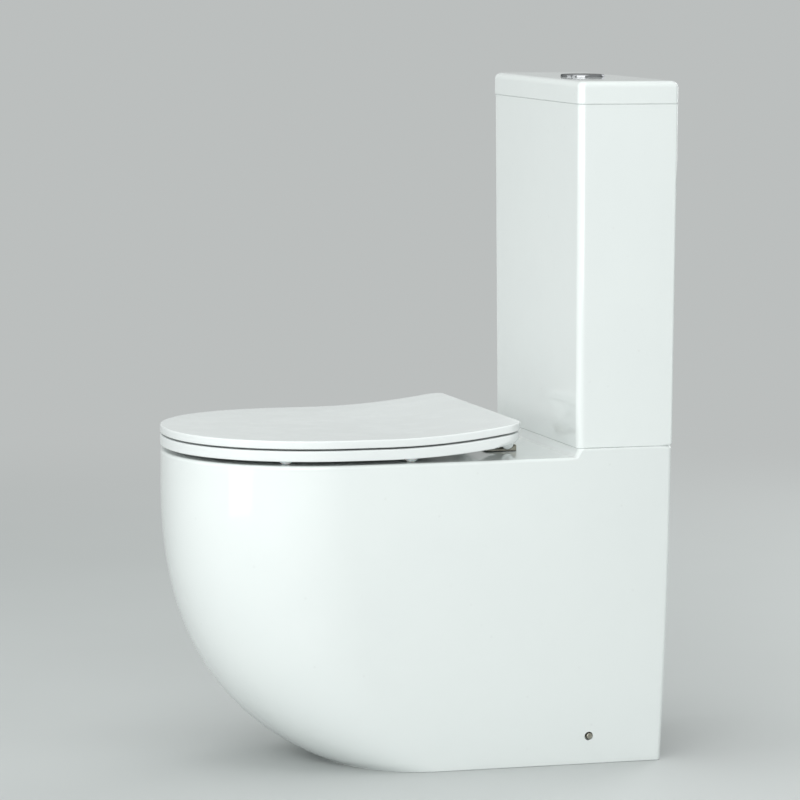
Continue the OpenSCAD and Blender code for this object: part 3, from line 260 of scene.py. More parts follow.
finishes = {
    "white_glaze": {
        "shader": {"IOR": 1.52, "Coat Weight": 0.35, "Coat Roughness": 0.03, "Specular IOR Level": 0.5},
        "drift": ((0.815, 0.848, 0.836, 1), (0.805, 0.838, 0.828, 1), 0.11, 0.03, 0.12),
        "smudge": (0.05, 0.07, 0.12),
        "ripple": (0.06, 1.0, 0.004, 0.03),
        "bump": (0.12, 0.0012),
    },
    "seat_resin": {
        "shader": {"IOR": 1.45, "Coat Weight": 0.05, "Coat Roughness": 0.12, "Specular IOR Level": 0.38},
        "drift": ((0.79, 0.815, 0.81, 1), (0.775, 0.8, 0.795, 1), 0.14, 0.02, 0.05),
        "smudge": (0.07, 0.2, 0.27),
        "ripple": (0.08, 1.0, 0.0015, 0.08),
        "bump": (0.08, 0.001),
    },
    "white_buffer": {
        "shader": {"IOR": 1.45, "Subsurface Weight": 0.15, "Subsurface Scale": 0.003},
        "drift": ((0.85, 0.87, 0.87, 1), (0.81, 0.83, 0.83, 1), 0.006, 0.002, 0.0),
        "smudge": (0.004, 0.45, 0.6),
        "ripple": (0.004, 0.6, 0.0006, 0.4),
        "bump": (0.3, 0.0002),
    },
    "black_rubber": {
        "shader": {"IOR": 1.45, "Sheen Weight": 0.15},
        "drift": ((0.028, 0.028, 0.029, 1), (0.05, 0.049, 0.047, 1), 0.012, 0.002, 0.05),
        "smudge": (0.006, 0.62, 0.82),
        "ripple": (0.004, 0.5, 0.0005, 0.5),
        "bump": (0.35, 0.0003),
    },
    "zinc_steel": {
        "shader": {"Metallic": 1.0, "Coat Weight": 0.0},
        "drift": ((0.6, 0.6, 0.58, 1), (0.5, 0.51, 0.5, 1), 0.009, 0.0025, 0.2),
        "brush": (0.0006, 12.0, 0.26, 0.42),
        "bump": (0.2, 0.0001),
    },
    "bright_chrome": {
        "shader": {"Metallic": 1.0, "Specular Tint": (0.3, 0.3, 0.31, 1)},
        "drift": ((0.38, 0.385, 0.395, 1), (0.33, 0.335, 0.345, 1), 0.02, 0.003, 0.02),
        "smudge": (0.008, 0.05, 0.14),
        "ripple": (0.012, 1.0, 0.001, 0.02),
        "bump": (0.05, 0.0003),
    },
    "satin_nickel": {
        "shader": {"Metallic": 1.0},
        "drift": ((0.45, 0.435, 0.375, 1), (0.35, 0.335, 0.28, 1), 0.008, 0.002, 0.1),
        "brush": (0.0003, 20.0, 0.24, 0.38),
        "bump": (0.15, 0.00008),
    },
    "valve_plastic": {
        "shader": {"IOR": 1.46, "Subsurface Weight": 0.08, "Subsurface Scale": 0.002},
        "drift": ((0.76, 0.765, 0.74, 1), (0.7, 0.7, 0.67, 1), 0.03, 0.004, 0.08),
        "smudge": (0.01, 0.36, 0.5),
        "ripple": (0.01, 0.5, 0.0008, 0.25),
        "bump": (0.25, 0.0003),
    },
    "blue_plastic": {
        "shader": {"IOR": 1.46},
        "drift": ((0.05, 0.16, 0.36, 1), (0.04, 0.12, 0.29, 1), 0.03, 0.004, 0.1),
        "smudge": (0.01, 0.34, 0.48),
        "ripple": (0.01, 0.5, 0.0008, 0.25),
        "bump": (0.25, 0.0003),
    },
    "red_rubber": {
        "shader": {"IOR": 1.42},
        "drift": ((0.34, 0.035, 0.028, 1), (0.27, 0.025, 0.02, 1), 0.01, 0.003, 0.05),
        "smudge": (0.006, 0.4, 0.55),
        "ripple": (0.005, 0.5, 0.0005, 0.3),
        "bump": (0.3, 0.0003),
    },
}
materials = {slot: newMaterial(slot + ".look", finish) for slot, finish in finishes.items()}

nodeSlots = {part["node"]: part["material_slot"] for part in frame["record"]["subparts"]}
for name, node in nodes.items():
    for place in node.material_slots:
        place.material = materials[nodeSlots[name]]
print("materials made:", len(materials))


def loftMesh(name, rings, closed=False):
    # rings of equal length, with pole caps at both ends unless the rings close on themselves
    count = len(rings[0])
    points = [p for ring in rings for p in ring]
    faces = []
    for k in range(len(rings) if closed else len(rings) - 1):
        a, b = k * count, (k + 1) % len(rings) * count
        for i in range(count):
            j = (i + 1) % count
            faces.append((a + i, a + j, b + j, b + i))
    if not closed:
        for start, ring in ((0, rings[0]), ((len(rings) - 1) * count, rings[-1])):
            pole = len(points)
            points.append(tuple(sum(p[axis] for p in ring) / count for axis in range(3)))
            for i in range(count):
                faces.append((start + i, start + (i + 1) % count, pole))
    mesh = bpy.data.meshes.new(name)
    mesh.from_pydata([tuple(p) for p in points], [], faces)
    outward(mesh)
    return mesh


def outward(mesh):
    sheet = bmesh.new()
    sheet.from_mesh(mesh)
    bmesh.ops.remove_doubles(sheet, verts=sheet.verts, dist=1e-7)
    bmesh.ops.recalc_face_normals(sheet, faces=sheet.faces)
    sheet.to_mesh(mesh)
    sheet.free()


def inwards(outline, depth):
    # each point of a closed outline moved in by depth (one for all, or one each), square to the outline
    count = len(outline)
    depths = [depth] * count if isinstance(depth, (int, float)) else depth
    moved = []
    for i, (x, y) in enumerate(outline):
        before, after = outline[i - 1], outline[(i + 1) % count]
        along = Vector((after[0] - before[0], after[1] - before[1]))
        along.normalize()
        moved.append((x - along.y * depths[i], y + along.x * depths[i]))
    return moved


def atHeight(plan, z):
    return [(x, y, z) for x, y in plan]


def quarter(count):
    return [math.pi / 2 * k / count for k in range(count + 1)]


def bend(count, r):
    # two distances from the corner of a fillet, both from its first edge to its last: one falls, one grows
    return [(r * (1 - math.sin(a)), r * (1 - math.cos(a))) for a in quarter(count)]


def shrink(plan, middle, share):
    return [(x * share, lerp(middle, y, share)) for x, y in plan]


def between(a, b, shares):
    return [[tuple(lerp(u, v, share) for u, v in zip(p, q)) for p, q in zip(a, b)] for share in shares]


def layAlong(axis, rings):
    # rings are drawn upright, and laid along x where that is asked
    return [[(z, x, y) for x, y, z in ring] for ring in rings] if axis == "X" else rings


def latheMesh(name, profile, centre, axis="Z", steps=64):
    # profile of (radius, height) turned about an axis through centre
    turns = [2 * math.pi * i / steps for i in range(steps)]
    rings = layAlong(axis, [[(r * math.cos(a), r * math.sin(a), height) for a in turns] for r, height in profile])
    return loftMesh(name, [[(centre[0] + x, centre[1] + y, centre[2] + z) for x, y, z in ring] for ring in rings])


def drill(name, x, y, r, low, high, steps=64):
    # a round cutter standing upright
    return latheMesh(name, [(r, low), (r, high)], (x, y, 0), steps=steps)


def roundedSlab(name, outline, low, high, r, axis="X", steps=3):
    # a closed outline drawn from low to high along an axis, with both rims rounded
    rings = [atHeight(inwards(outline, inset), low + rise) for inset, rise in bend(steps, r)]
    rings += [atHeight(inwards(outline, inset), high - drop) for drop, inset in bend(steps, r)]
    return loftMesh(name, layAlong(axis, rings))


def boxMesh(name, low, high):
    outline = [(low[0], low[1]), (high[0], low[1]), (high[0], high[1]), (low[0], high[1])]
    return loftMesh(name, [atHeight(outline, low[2]), atHeight(outline, high[2])])


def combine(piece, tools, operation):
    # union with, or cut by, every tool at once; the tools are removed afterwards
    shelf = bpy.data.collections.new("tools")
    bpy.context.scene.collection.children.link(shelf)
    for tool in tools:
        holder = bpy.data.objects.new(tool.name, tool)
        shelf.objects.link(holder)
    change = piece.modifiers.new("combine", "BOOLEAN")
    change.operation = operation
    change.operand_type = "COLLECTION"
    change.collection = shelf
    change.solver = "EXACT"
    bakeModifiers(piece)
    for holder in list(shelf.objects):
        bpy.data.objects.remove(holder)
    bpy.data.collections.remove(shelf)
    return piece


def joinAll(name, meshes):
    return combine(addObject(name, meshes[0]), meshes[1:], "UNION")


def bakeModifiers(piece):
    graph = bpy.context.evaluated_depsgraph_get()
    graph.update()
    mesh = bpy.data.meshes.new_from_object(piece.evaluated_get(graph), depsgraph=graph)
    piece.modifiers.clear()
    piece.data = mesh


def tidyPiece(piece, slot, angle=32):
    # one material, smooth shading broken at sharp edges, and large faces kept flat
    mesh = piece.data
    outward(mesh)
    mesh.materials.clear()
    mesh.materials.append(materials[slot])
    for face in mesh.polygons:
        face.material_index = 0
    mesh.shade_smooth()
    mesh.set_sharp_from_angle(angle=math.radians(angle))
    even = piece.modifiers.new("even", "WEIGHTED_NORMAL")
    even.keep_sharp = True
    bakeModifiers(piece)


def keep(piece, slot, body, *stoodFor, angle=32):
    # finish a piece: its material, the CAD nodes that it stands for and the body that it rides on
    tidyPiece(piece, slot, angle)
    if stoodFor:
        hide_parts(*stoodFor)
    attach(piece, body)


def halfPlan(front, straight, wide, rear, roundness, back, corner, sides):
    # right half of a D-shaped plan, from the front tip round to the middle of the rear; y grows to the wall
    widest, tip, end = wallY - straight, wallY - front, wallY - back
    points = []
    for i in range(sides["front"] + 1):
        a = math.pi / 2 * i / sides["front"]
        a = lerp(a, math.pi / 2 * smooth(i / sides["front"]), 0.35)
        points.append((wide * math.sin(a) ** (2 / roundness),
                       widest - (widest - tip) * max(0, math.cos(a)) ** (2 / roundness)))
    for u in sides["along"]:
        points.append((lerp(wide, rear, u * u), lerp(widest, end - corner, u)))
    for i in range(1, sides["corner"] + 1):
        a = math.pi / 2 * i / sides["corner"]
        points.append((rear - corner + corner * math.cos(a), end - corner + corner * math.sin(a)))
    for i in range(1, sides["rear"] + 1):
        points.append(((rear - corner) * (1 - i / sides["rear"]), end))
    return points


def wholePlan(half):
    return half + [(-x, y) for x, y in reversed(half[1:-1])]


def ovalReach(d, halfWide, halfLong, power):
    # how far a superellipse reaches in the direction d
    return ((abs(d.x) / halfWide) ** power + (abs(d.y) / halfLong) ** power) ** (-1 / power)


# pan: one smooth fired body
pan = {
    "depth": 0.605, "width": 0.360, "footWidth": 0.272, "footDepth": 0.406,
    "footStraight": 0.290, "rimStraight": 0.412, "deck": 0.390, "platform": 0.400,
    "plumb": 0.355, "sweepLow": 0.085, "sweepHigh": 0.073, "sidePower": 1.87,
    "rimRound": 2.15, "corner": 0.006, "wall": 0.012, "footExtra": 0.016,
    "rimFillet": 0.0040, "seamFillet": 0.0020, "rearFillet": 0.0043, "mouthFillet": 0.006, "footFillet": 0.0016,
    "rearWidth": 0.328, "cisternFront": 0.124, "padEdge": 0.0005, "padCorner": 0.009,
    "rampReach": 0.0105, "rampEdge": 0.0003,
}
bowl = {
    "width": 0.268, "length": 0.330, "fromWall": 0.407, "wall": 0.011, "roundness": 2.25,
    "sumpHeight": 0.080, "sumpWidth": 0.096, "sumpLength": 0.120, "sumpFromWall": 0.335,
    "sumpDish": 0.002,
}
trap = {
    "bore": 0.062, "outletBore": 0.090, "outletWidth": 0.102, "outletHeight": 0.180, "outletLength": 0.040,
    "outletInset": 0.030, "topFromWall": 0.180, "topHeight": 0.276, "wall": 0.009, "join": 0.006,
    "bends": (0.048, 0.050, 0.054), "bendSteps": 12, "sides": 48,
}
channel = {"width": 0.064, "height": 0.046, "recess": 0.046, "recessFloor": 0.388, "shaft": 0.035}
openings = {
    "inlet": (-0.110, 0.02245), "bolts": (0.075, 0.0055), "studs": (0.0775, 0.007),
    "rear": (0.230, 0.290), "side": (0.098, 0.0365, 0.0055),
}
valveY, studY = wallY - 0.066, wallY - 0.202

# close spacing where the side passes the platform's step
stepBand = [0.6 + 0.0055 * k for k in range(32)]
sideSteps = [0.6 * k / 14 for k in range(1, 14)] + stepBand + [lerp(stepBand[-1], 1, k / 8) for k in range(1, 9)]
panSides = {"front": 56, "along": sideSteps, "corner": 6, "rear": 14}


def skirtPlan(front, height, inset=0.0, extra=0.0):
    share = (pan["depth"] - front) / (pan["depth"] - pan["footDepth"])
    narrow = max(0, 1 - height / pan["platform"]) ** pan["sidePower"]
    half = halfPlan(
        front - inset - extra * share,
        lerp(pan["rimStraight"], pan["footStraight"], share) - inset / 2,
        (pan["width"] - (pan["width"] - pan["footWidth"]) * narrow) / 2 - inset,
        (pan["rearWidth"] - (pan["rearWidth"] - pan["footWidth"]) * narrow) / 2 - inset,
        lerp(pan["rimRound"], 2, share), inset, pan["corner"], panSides)
    return wholePlan(half)


def frontCurve(t):
    # (distance of the front from the wall, height) up the front's curve
    reach = pan["depth"]
    return mix(t, pan["footDepth"], reach, reach, reach), \
        mix(t, 0, pan["sweepLow"], pan["plumb"] - pan["sweepHigh"], pan["plumb"])


bowlY = wallY - bowl["fromWall"]
rimPlan = skirtPlan(pan["depth"], pan["deck"])
directions = [Vector((x, y - bowlY)).normalized() for x, y in rimPlan]


def bowlPlan(h, grow=0.0):
    share = (1 - (1 - h) ** 2) ** 0.6
    halfWide = lerp(bowl["sumpWidth"], bowl["width"], share) / 2 + grow
    halfLong = lerp(bowl["sumpLength"], bowl["length"], share) / 2 + grow
    middle = wallY - lerp(bowl["sumpFromWall"], bowl["fromWall"], share)
    reaches = [ovalReach(d, halfWide, halfLong, bowl["roundness"]) for d in directions]
    return [(d.x * r, middle + d.y * r) for d, r in zip(directions, reaches)]


padShare = (pan["rimStraight"] - pan["cisternFront"]) / (pan["rimStraight"] - pan["corner"])
padHalf = lerp(pan["width"], pan["rearWidth"], padShare ** 2) / 2
padFront = wallY - pan["cisternFront"] - pan["padEdge"]


def toPad(x, y):
    # distance from the platform's outline, below zero on the platform
    r = pan["padCorner"]
    qx, qy = abs(x) - (padHalf - r), (padFront + r) - y
    return math.hypot(max(qx, 0), max(qy, 0)) + min(max(qx, qy), 0) - r


def deckHeight(x, y):
    # flat deck, a hollow ramp up to the platform and a softly rounded top edge
    rise = pan["platform"] - pan["deck"]
    beyond = max(0, toPad(x, y) + pan["rampEdge"])
    along = math.sqrt(beyond * (beyond + 2 * pan["padCorner"])) / pan["rampReach"]
    return pan["deck"] + rise * (1 - smooth(along) * 0.55 - min(1, along) * 0.45) if along < 1 else pan["deck"]


# offsets from the platform's outline that rows of the deck follow
stepRows = [0.0058, 0.0050, 0.0042, 0.0035, 0.0028, 0.0022, 0.0016, 0.0011, 0.0007, 0.0004, 0.0001, -0.0001, -0.0003,
            -0.0005, -0.0008, -0.0016]


def deckRings(inner, outer):
    # rows from the mouth to the rim; rows gather along the platform's step
    tight, before, after = 0.0015, 7, 6
    shares = []
    for (ax, ay), (bx, by) in zip(inner, outer):
        row = []
        for k, offset in enumerate(stepRows):
            low, high = 0.0, 1.0
            for _ in range(26):
                middle = (low + high) / 2
                if toPad(lerp(ax, bx, middle), lerp(ay, by, middle)) > offset:
                    low = middle
                else:
                    high = middle
            row.append(min(high, 1 - (len(stepRows) + after - k) * tight))
        for k in range(1, len(row)):
            row[k] = max(row[k], row[k - 1] + tight * 0.02)
        shares.append([row[0] * k / before for k in range(before)] + row
                      + [lerp(row[-1], 1, k / after) for k in range(1, after)])
    rings = []
    for k in range(len(shares[0])):
        ring = []
        for (ax, ay), (bx, by), share in zip(inner, outer, shares):
            x, y = lerp(ax, bx, share[k]), lerp(ay, by, share[k])
            ring.append((x, y, deckHeight(x, y)))
        rings.append(ring)
    return rings


def panRings():
    rings = []
    underDeck = pan["deck"] - pan["wall"]
    # outside of the bowl, then the inside of the skirt down to the floor
    for h in (0.0, 0.01, 0.03, 0.06, 0.1, 0.15, 0.22, 0.3, 0.4, 0.5, 0.62, 0.74, 0.87, 1.0):
        rings.append(atHeight(bowlPlan(h, bowl["wall"]), lerp(bowl["sumpHeight"] - bowl["wall"], underDeck, h)))
    rings.append(atHeight(skirtPlan(pan["depth"], underDeck, pan["wall"], pan["footExtra"]), underDeck))
    for k in range(20, -1, -1):
        front, height = frontCurve(k / 20 * 0.92)
        rings.append(atHeight(skirtPlan(front, height, pan["wall"], pan["footExtra"]), height))
    # rounded foot edge and the outside of the skirt
    fillet = pan["footFillet"]
    for a in [math.radians(angle) for angle in (0, 20, 40, 60, 80)]:
        height = fillet * (1 - math.cos(a))
        rings.append(atHeight(inwards(skirtPlan(pan["footDepth"], height), fillet * (1 - math.sin(a))), height))
    for k in range(1, 61):
        front, height = frontCurve(0.012 + 0.988 * k / 60)
        rings.append(atHeight(skirtPlan(front, height), height))
    # up to the rim, whose height follows the deck and the platform; it is sharper under the cistern
    fillets = [lerp(pan["seamFillet"], pan["rimFillet"], smooth((padFront + 0.002 - y) / 0.022))
               + (pan["rearFillet"] - pan["seamFillet"]) * smooth((y - (wallY - 0.020)) / 0.016) for x, y in rimPlan]
    inner = inwards(rimPlan, fillets)
    tops = [deckHeight(x, y) for x, y in inner]
    for k in range(1, 7):
        plan = skirtPlan(pan["depth"], lerp(pan["plumb"], pan["deck"] - pan["rimFillet"], k / 6))
        rings.append([(x, y, lerp(pan["plumb"], top - fillet, k / 6))
                      for (x, y), top, fillet in zip(plan, tops, fillets)])
    for drop, inset in bend(8, 1)[1:]:
        plan = inwards(rimPlan, [fillet * inset for fillet in fillets])
        rings.append([(x, y, top - fillet * drop) for (x, y), top, fillet in zip(plan, tops, fillets)])
    # deck, mouth and the inside of the bowl
    rings += deckRings(bowlPlan(1, pan["mouthFillet"]), inner)[::-1]
    rings += [atHeight(bowlPlan(1, inset), pan["deck"] - drop) for inset, drop in bend(6, pan["mouthFillet"])[1:]]
    for h in (0.96, 0.92, 0.87, 0.81, 0.75, 0.68, 0.61, 0.54, 0.47, 0.40, 0.34, 0.28, 0.225, 0.175, 0.13, 0.095,
              0.065, 0.04, 0.022, 0.01, 0.003, 0.0):
        rings.append(atHeight(bowlPlan(h), lerp(bowl["sumpHeight"], pan["deck"], h)))
    for share in (0.9, 0.7, 0.45, 0.2):
        rings.append(atHeight(shrink(bowlPlan(0), wallY - bowl["sumpFromWall"], share),
                              bowl["sumpHeight"] - bowl["sumpDish"] * (1 - share ** 2)))
    return rings


def roundCorners(corners, radii, steps):
    # a path through corners with an arc of the given radius at each inner one
    path = [corners[0]]
    for i, radius in enumerate(radii):
        a, b, c = (Vector(corners[i + k]) for k in range(3))
        into, onward = (b - a).normalized(), (c - b).normalized()
        angle = math.atan2(into.x * onward.y - into.y * onward.x, into.dot(onward))
        start = b - into * radius * math.tan(abs(angle) / 2)
        arm = Vector((into.y, -into.x)) * math.copysign(radius, angle)
        for k in range(steps + 1):
            path.append(tuple(start - arm + Matrix.Rotation(angle * k / steps, 2) @ arm))
    return path + [corners[-1]]


trapEnd = (wallY - trap["outletInset"] - trap["outletLength"], trap["outletHeight"])
trapPath = roundCorners([
    (wallY - bowl["sumpFromWall"] + 0.022, bowl["sumpHeight"] + trap["bore"] / 2 + 0.008),
    (wallY - bowl["sumpFromWall"] + 0.115, bowl["sumpHeight"] + 0.020),
    (wallY - trap["topFromWall"], trap["topHeight"]),
    (trapEnd[0] - 0.028, trap["outletHeight"]),
    trapEnd], trap["bends"], trap["bendSteps"])


def geometryTree(name, inputs):
    tree = bpy.data.node_groups.new(name, "GeometryNodeTree")
    tree.interface.new_socket("Geometry", in_out="INPUT", socket_type="NodeSocketGeometry")
    for label, (kind, value) in inputs.items():
        socket = tree.interface.new_socket(label, in_out="INPUT", socket_type="NodeSocket" + kind)
        if value is not None:
            socket.default_value = value
    tree.interface.new_socket("Geometry", in_out="OUTPUT", socket_type="NodeSocketGeometry")
    return tree, tree.nodes.new("NodeGroupInput").outputs, tree.nodes.new("NodeGroupOutput").inputs


def runTree(name, tree, points, values, slot, angle=32, edges=(), attributes=None):
    # feed points to the tree, keep what it makes as a plain mesh
    mesh = bpy.data.meshes.new(name)
    mesh.from_pydata([tuple(p) for p in points], list(edges), [])
    for label, numbers in (attributes or {}).items():
        mesh.attributes.new(label, "FLOAT", "POINT").data.foreach_set("value", numbers)
    piece = addObject(name, mesh)
    modifier = piece.modifiers.new("grow", "NODES")
    modifier.node_group = tree
    for item in tree.interface.items_tree:
        if item.in_out == "INPUT" and item.name in values:
            modifier[item.identifier] = values[item.name]
    bakeModifiers(piece)
    tidyPiece(piece, slot, angle)
    return piece


def finishTree(tree, out, geometry, material):
    realized = addNode(tree, "GeometryNodeRealizeInstances", Geometry=geometry)
    coated = addNode(tree, "GeometryNodeSetMaterial", Geometry=realized.outputs[0], Material=material)
    feed(tree, out[0], coated.outputs[0])


# a pipe along a path whose radius grows from Start to End
pipeTree, given, out = geometryTree("pipeAlongPath", {
    "Start": ("Float", 0.03), "End": ("Float", 0.05), "Sides": ("Int", 32), "Coat": ("Material", None)})
curve = addNode(pipeTree, "GeometryNodeMeshToCurve", Mesh=given["Geometry"])
order = addNode(pipeTree, "GeometryNodeInputIndex")
total = addNode(pipeTree, "GeometryNodeAttributeDomainSize", {"component": "CURVE"}, Geometry=curve.outputs[0])
last = addMath(pipeTree, "SUBTRACT", total.outputs["Point Count"], 1)
share = addMath(pipeTree, "DIVIDE", order.outputs[0], last)
grown = addMath(pipeTree, "POWER", share, 3)
step = addMath(pipeTree, "SUBTRACT", given["End"], given["Start"])
radius = addMath(pipeTree, "MULTIPLY_ADD", grown, step, given["Start"])
sized = addNode(pipeTree, "GeometryNodeSetCurveRadius", Curve=curve.outputs[0], Radius=radius)
circle = addNode(pipeTree, "GeometryNodeCurvePrimitiveCircle", Resolution=given["Sides"], Radius=1.0)
pipe = addNode(pipeTree, "GeometryNodeCurveToMesh", Curve=sized.outputs[0], Profile_Curve=circle.outputs[0],
               Fill_Caps=True)
if "Scale" in pipe.inputs:
    feed(pipeTree, pipe.inputs["Scale"], radius)
finishTree(pipeTree, out, pipe.outputs[0], given["Coat"])

# a raised thread wound round each given point's upright axis
threadTree, given, out = geometryTree("windThread", {
    "Radius": ("Float", 0.004), "Pitch": ("Float", 0.00125), "Length": ("Float", 0.02), "Ridge": ("Float", 0.0004),
    "Coat": ("Material", None)})
turns = addMath(threadTree, "DIVIDE", given["Length"], given["Pitch"])
helix = addNode(threadTree, "GeometryNodeCurveSpiral", Resolution=28, Rotations=turns,
                Start_Radius=given["Radius"], End_Radius=given["Radius"], Height=given["Length"])
ridge = addNode(threadTree, "GeometryNodeCurvePrimitiveCircle", Resolution=4, Radius=given["Ridge"])
wound = addNode(threadTree, "GeometryNodeCurveToMesh", Curve=helix.outputs[0], Profile_Curve=ridge.outputs[0],
                Fill_Caps=True)
placed = addNode(threadTree, "GeometryNodeInstanceOnPoints", Points=given["Geometry"], Instance=wound.outputs[0])
finishTree(threadTree, out, placed.outputs[0], given["Coat"])

# one stop stood on each given point, stretched to the point's own height
stopTree, given, out = geometryTree("standStops", {"Stop": ("Object", None), "Coat": ("Material", None)})
model = addNode(stopTree, "GeometryNodeObjectInfo", Object=given["Stop"])
tall = addNode(stopTree, "GeometryNodeInputNamedAttribute", {"data_type": "FLOAT"}, Name="tall")
stretch = addNode(stopTree, "ShaderNodeCombineXYZ", X=1.0, Y=1.0, Z=tall.outputs[0])
stood = addNode(stopTree, "GeometryNodeInstanceOnPoints", Points=given["Geometry"],
                Instance=model.outputs["Geometry"], Scale=stretch.outputs[0])
finishTree(stopTree, out, stood.outputs[0], given["Coat"])
print("node trees built")


def trapPipe(name, start, end):
    points = [(0, y, z) for y, z in trapPath]
    values = {"Start": start, "End": end, "Sides": trap["sides"], "Coat": materials["white_glaze"]}
    edges = [(i, i + 1) for i in range(len(points) - 1)]
    pipe = runTree(name, pipeTree, points, values, "white_glaze", edges=edges)
    mesh = pipe.data
    bpy.data.objects.remove(pipe)
    return mesh


def outletPart(name, profile, start):
    # a round part turned about the outlet's level axis, from start towards the wall
    mesh = latheMesh(name, profile, (0, 0, 0))
    mesh.transform(Matrix.Translation((0, start, trapEnd[1])) @ Matrix.Rotation(-math.pi / 2, 4, "X"))
    return mesh


panPiece = addObject("panSkin", loftMesh("panSkin", panRings()))
print("pan lofted:", len(panPiece.data.polygons), "faces")
underDeck = pan["deck"] - pan["wall"]
channelLow = underDeck - trap["wall"] - channel["height"]
mouthRear = wallY - bowl["fromWall"] + bowl["length"] / 2
wide, outletBore = channel["width"] / 2, trap["outletBore"] / 2
combine(panPiece, [
    trapPipe("trapOuter", trap["bore"] / 2 + trap["wall"], trap["outletWidth"] / 2 - 0.0005),
    outletPart("spigot", [(0.0502, 0), (0.051, 0.0008), (0.051, 0.0444), (0.0494, 0.046)],
               trapEnd[0] - trap["join"]),
    boxMesh("channelOuter", (-wide - trap["wall"], mouthRear + 0.004, channelLow - trap["wall"]),
            (wide + trap["wall"], valveY, underDeck + 0.003)),
    drill("shaftOuter", 0, valveY, channel["shaft"] + 0.010, channelLow - trap["wall"], underDeck + 0.004),
], "UNION")
print("trap and channel joined")
sideFar, sideHigh, sideR = openings["side"]
rearWide, rearHigh = openings["rear"]
cutters = [
    trapPipe("trapBore", trap["bore"] / 2, outletBore),
    outletPart("outletCut", [(outletBore, 0), (outletBore, 0.06)], trapEnd[0] - 0.0062),
    boxMesh("channelBore", (-wide, mouthRear - 0.020, channelLow), (wide, valveY, channelLow + channel["height"])),
    drill("shaftBore", 0, valveY, channel["shaft"], channelLow, 0.402),
    drill("recess", 0, valveY, channel["recess"], channel["recessFloor"], 0.402),
    drill("inletHole", openings["inlet"][0], valveY, openings["inlet"][1], 0.36, 0.41)]
for label, y in (("bolts", valveY), ("studs", studY)):
    x, r = openings[label]
    cutters += [drill(label + "Hole", side * x, y, r, 0.36, 0.41, 32) for side in (1, -1)]
cutters += [
    latheMesh("sideHole", [(sideR, -0.19), (sideR, 0.19)], (0, wallY - sideFar, sideHigh), "X", 40),
    boxMesh("rearOpening", (-rearWide / 2, wallY - 0.016, -0.01), (rearWide / 2, wallY + 0.02, rearHigh))]
combine(panPiece, cutters, "DIFFERENCE")
keep(panPiece, "white_glaze", "pan", "pan", "bowl", "trapway", "flush_channel")
print("pan ready:", len(panPiece.data.polygons), "faces")

# cistern
cistern = {
    "low": 0.400, "high": 0.822, "half": 0.164, "lean": 0.006, "front": 0.124, "frontLean": 0.004,
    "corner": 0.009, "rearCorner": 0.0035, "wall": 0.008, "floor": 0.012, "frontFoot": 0.0009, "sideFoot": 0.0015,
    "rearFoot": 0.0038, "rimRound": 0.0012, "innerRound": 0.003,
    "holes": ((0, 0.0305), (-0.110, 0.01205), (0.075, 0.0055), (-0.075, 0.0055)),
}


def boxPlan(half, front, back, corner, rearCorner=None, arc=10, side=8):
    # rounded rectangle, anticlockwise from above, with points along its straight sides
    rearCorner = rearCorner or corner
    corners = ((1, -1, -90, corner), (1, 1, 0, rearCorner), (-1, 1, 90, rearCorner), (-1, -1, 180, corner))
    arcs = []
    for sx, sy, start, r in corners:
        cx, cy = sx * (half - r), (front + r if sy < 0 else back - r)
        turns = [math.radians(start + 90 * i / arc) for i in range(arc + 1)]
        arcs.append([(cx + r * math.cos(a), cy + r * math.sin(a)) for a in turns])
    plan = []
    for k, points in enumerate(arcs):
        plan += points
        (ax, ay), (bx, by) = points[-1], arcs[(k + 1) % 4][0]
        shares = [0.03] + [j / (side - 1) for j in range(1, side - 1)] + [0.97]
        plan += [(lerp(ax, bx, u), lerp(ay, by, u)) for u in shares]
    return plan


def cisternPlan(z, inset):
    u = (z - cistern["low"]) / (cistern["high"] - cistern["low"])
    return atHeight(boxPlan(
        cistern["half"] + cistern["lean"] * u - inset, wallY - cistern["front"] - cistern["frontLean"] * u + inset,
        wallY - inset, max(cistern["corner"] - inset, 0.003), max(cistern["rearCorner"] - inset, 0.002)), z)


low, high, wall = cistern["low"], cistern["high"], cistern["wall"]
inner, rim, foot = cistern["innerRound"], cistern["rimRound"], cistern["rearFoot"]
floorTop = low + cistern["floor"]
levels = (0.02, 0.2, 0.4, 0.6, 0.8, 0.98)
cisternRings = [cisternPlan(floorTop, wall + inner + 0.004)]
cisternRings += [cisternPlan(floorTop + rise, wall + inset) for inset, rise in bend(5, inner)]
cisternRings += [cisternPlan(lerp(floorTop + inner, high - rim, u), wall) for u in levels]
cisternRings += [cisternPlan(high - drop, wall - inset) for drop, inset in bend(3, rim)]
cisternRings += [cisternPlan(high - drop, inset) for drop, inset in bend(3, rim)[::-1]]
cisternRings += [cisternPlan(lerp(low + foot, high - rim, u), 0) for u in levels[::-1]]
footPlan = [(x, y) for x, y, _ in cisternPlan(low, 0)]
feet = [cistern["frontFoot"]
        + (cistern["sideFoot"] - cistern["frontFoot"]) * smooth((y - wallY + cistern["front"] - 0.004) / 0.008)
        + (foot - cistern["sideFoot"]) * smooth((y - wallY + 0.018) / 0.016) for x, y in footPlan]
for inset, rise in bend(6, 1)[::-1]:
    footRing = inwards(footPlan, [r * inset for r in feet])
    cisternRings.append([(x, y, low + r * rise) for (x, y), r in zip(footRing, feet)])
cisternRings.append(cisternPlan(low, foot + 0.004))
cisternPiece = addObject("cisternBody", loftMesh("cisternBody", cisternRings))
combine(cisternPiece, [drill("hole" + str(k), x, valveY, r, 0.39, 0.43, 48)
                       for k, (x, r) in enumerate(cistern["holes"])], "DIFFERENCE")
keep(cisternPiece, "white_glaze", "pan", "cistern")
print("cistern ready")

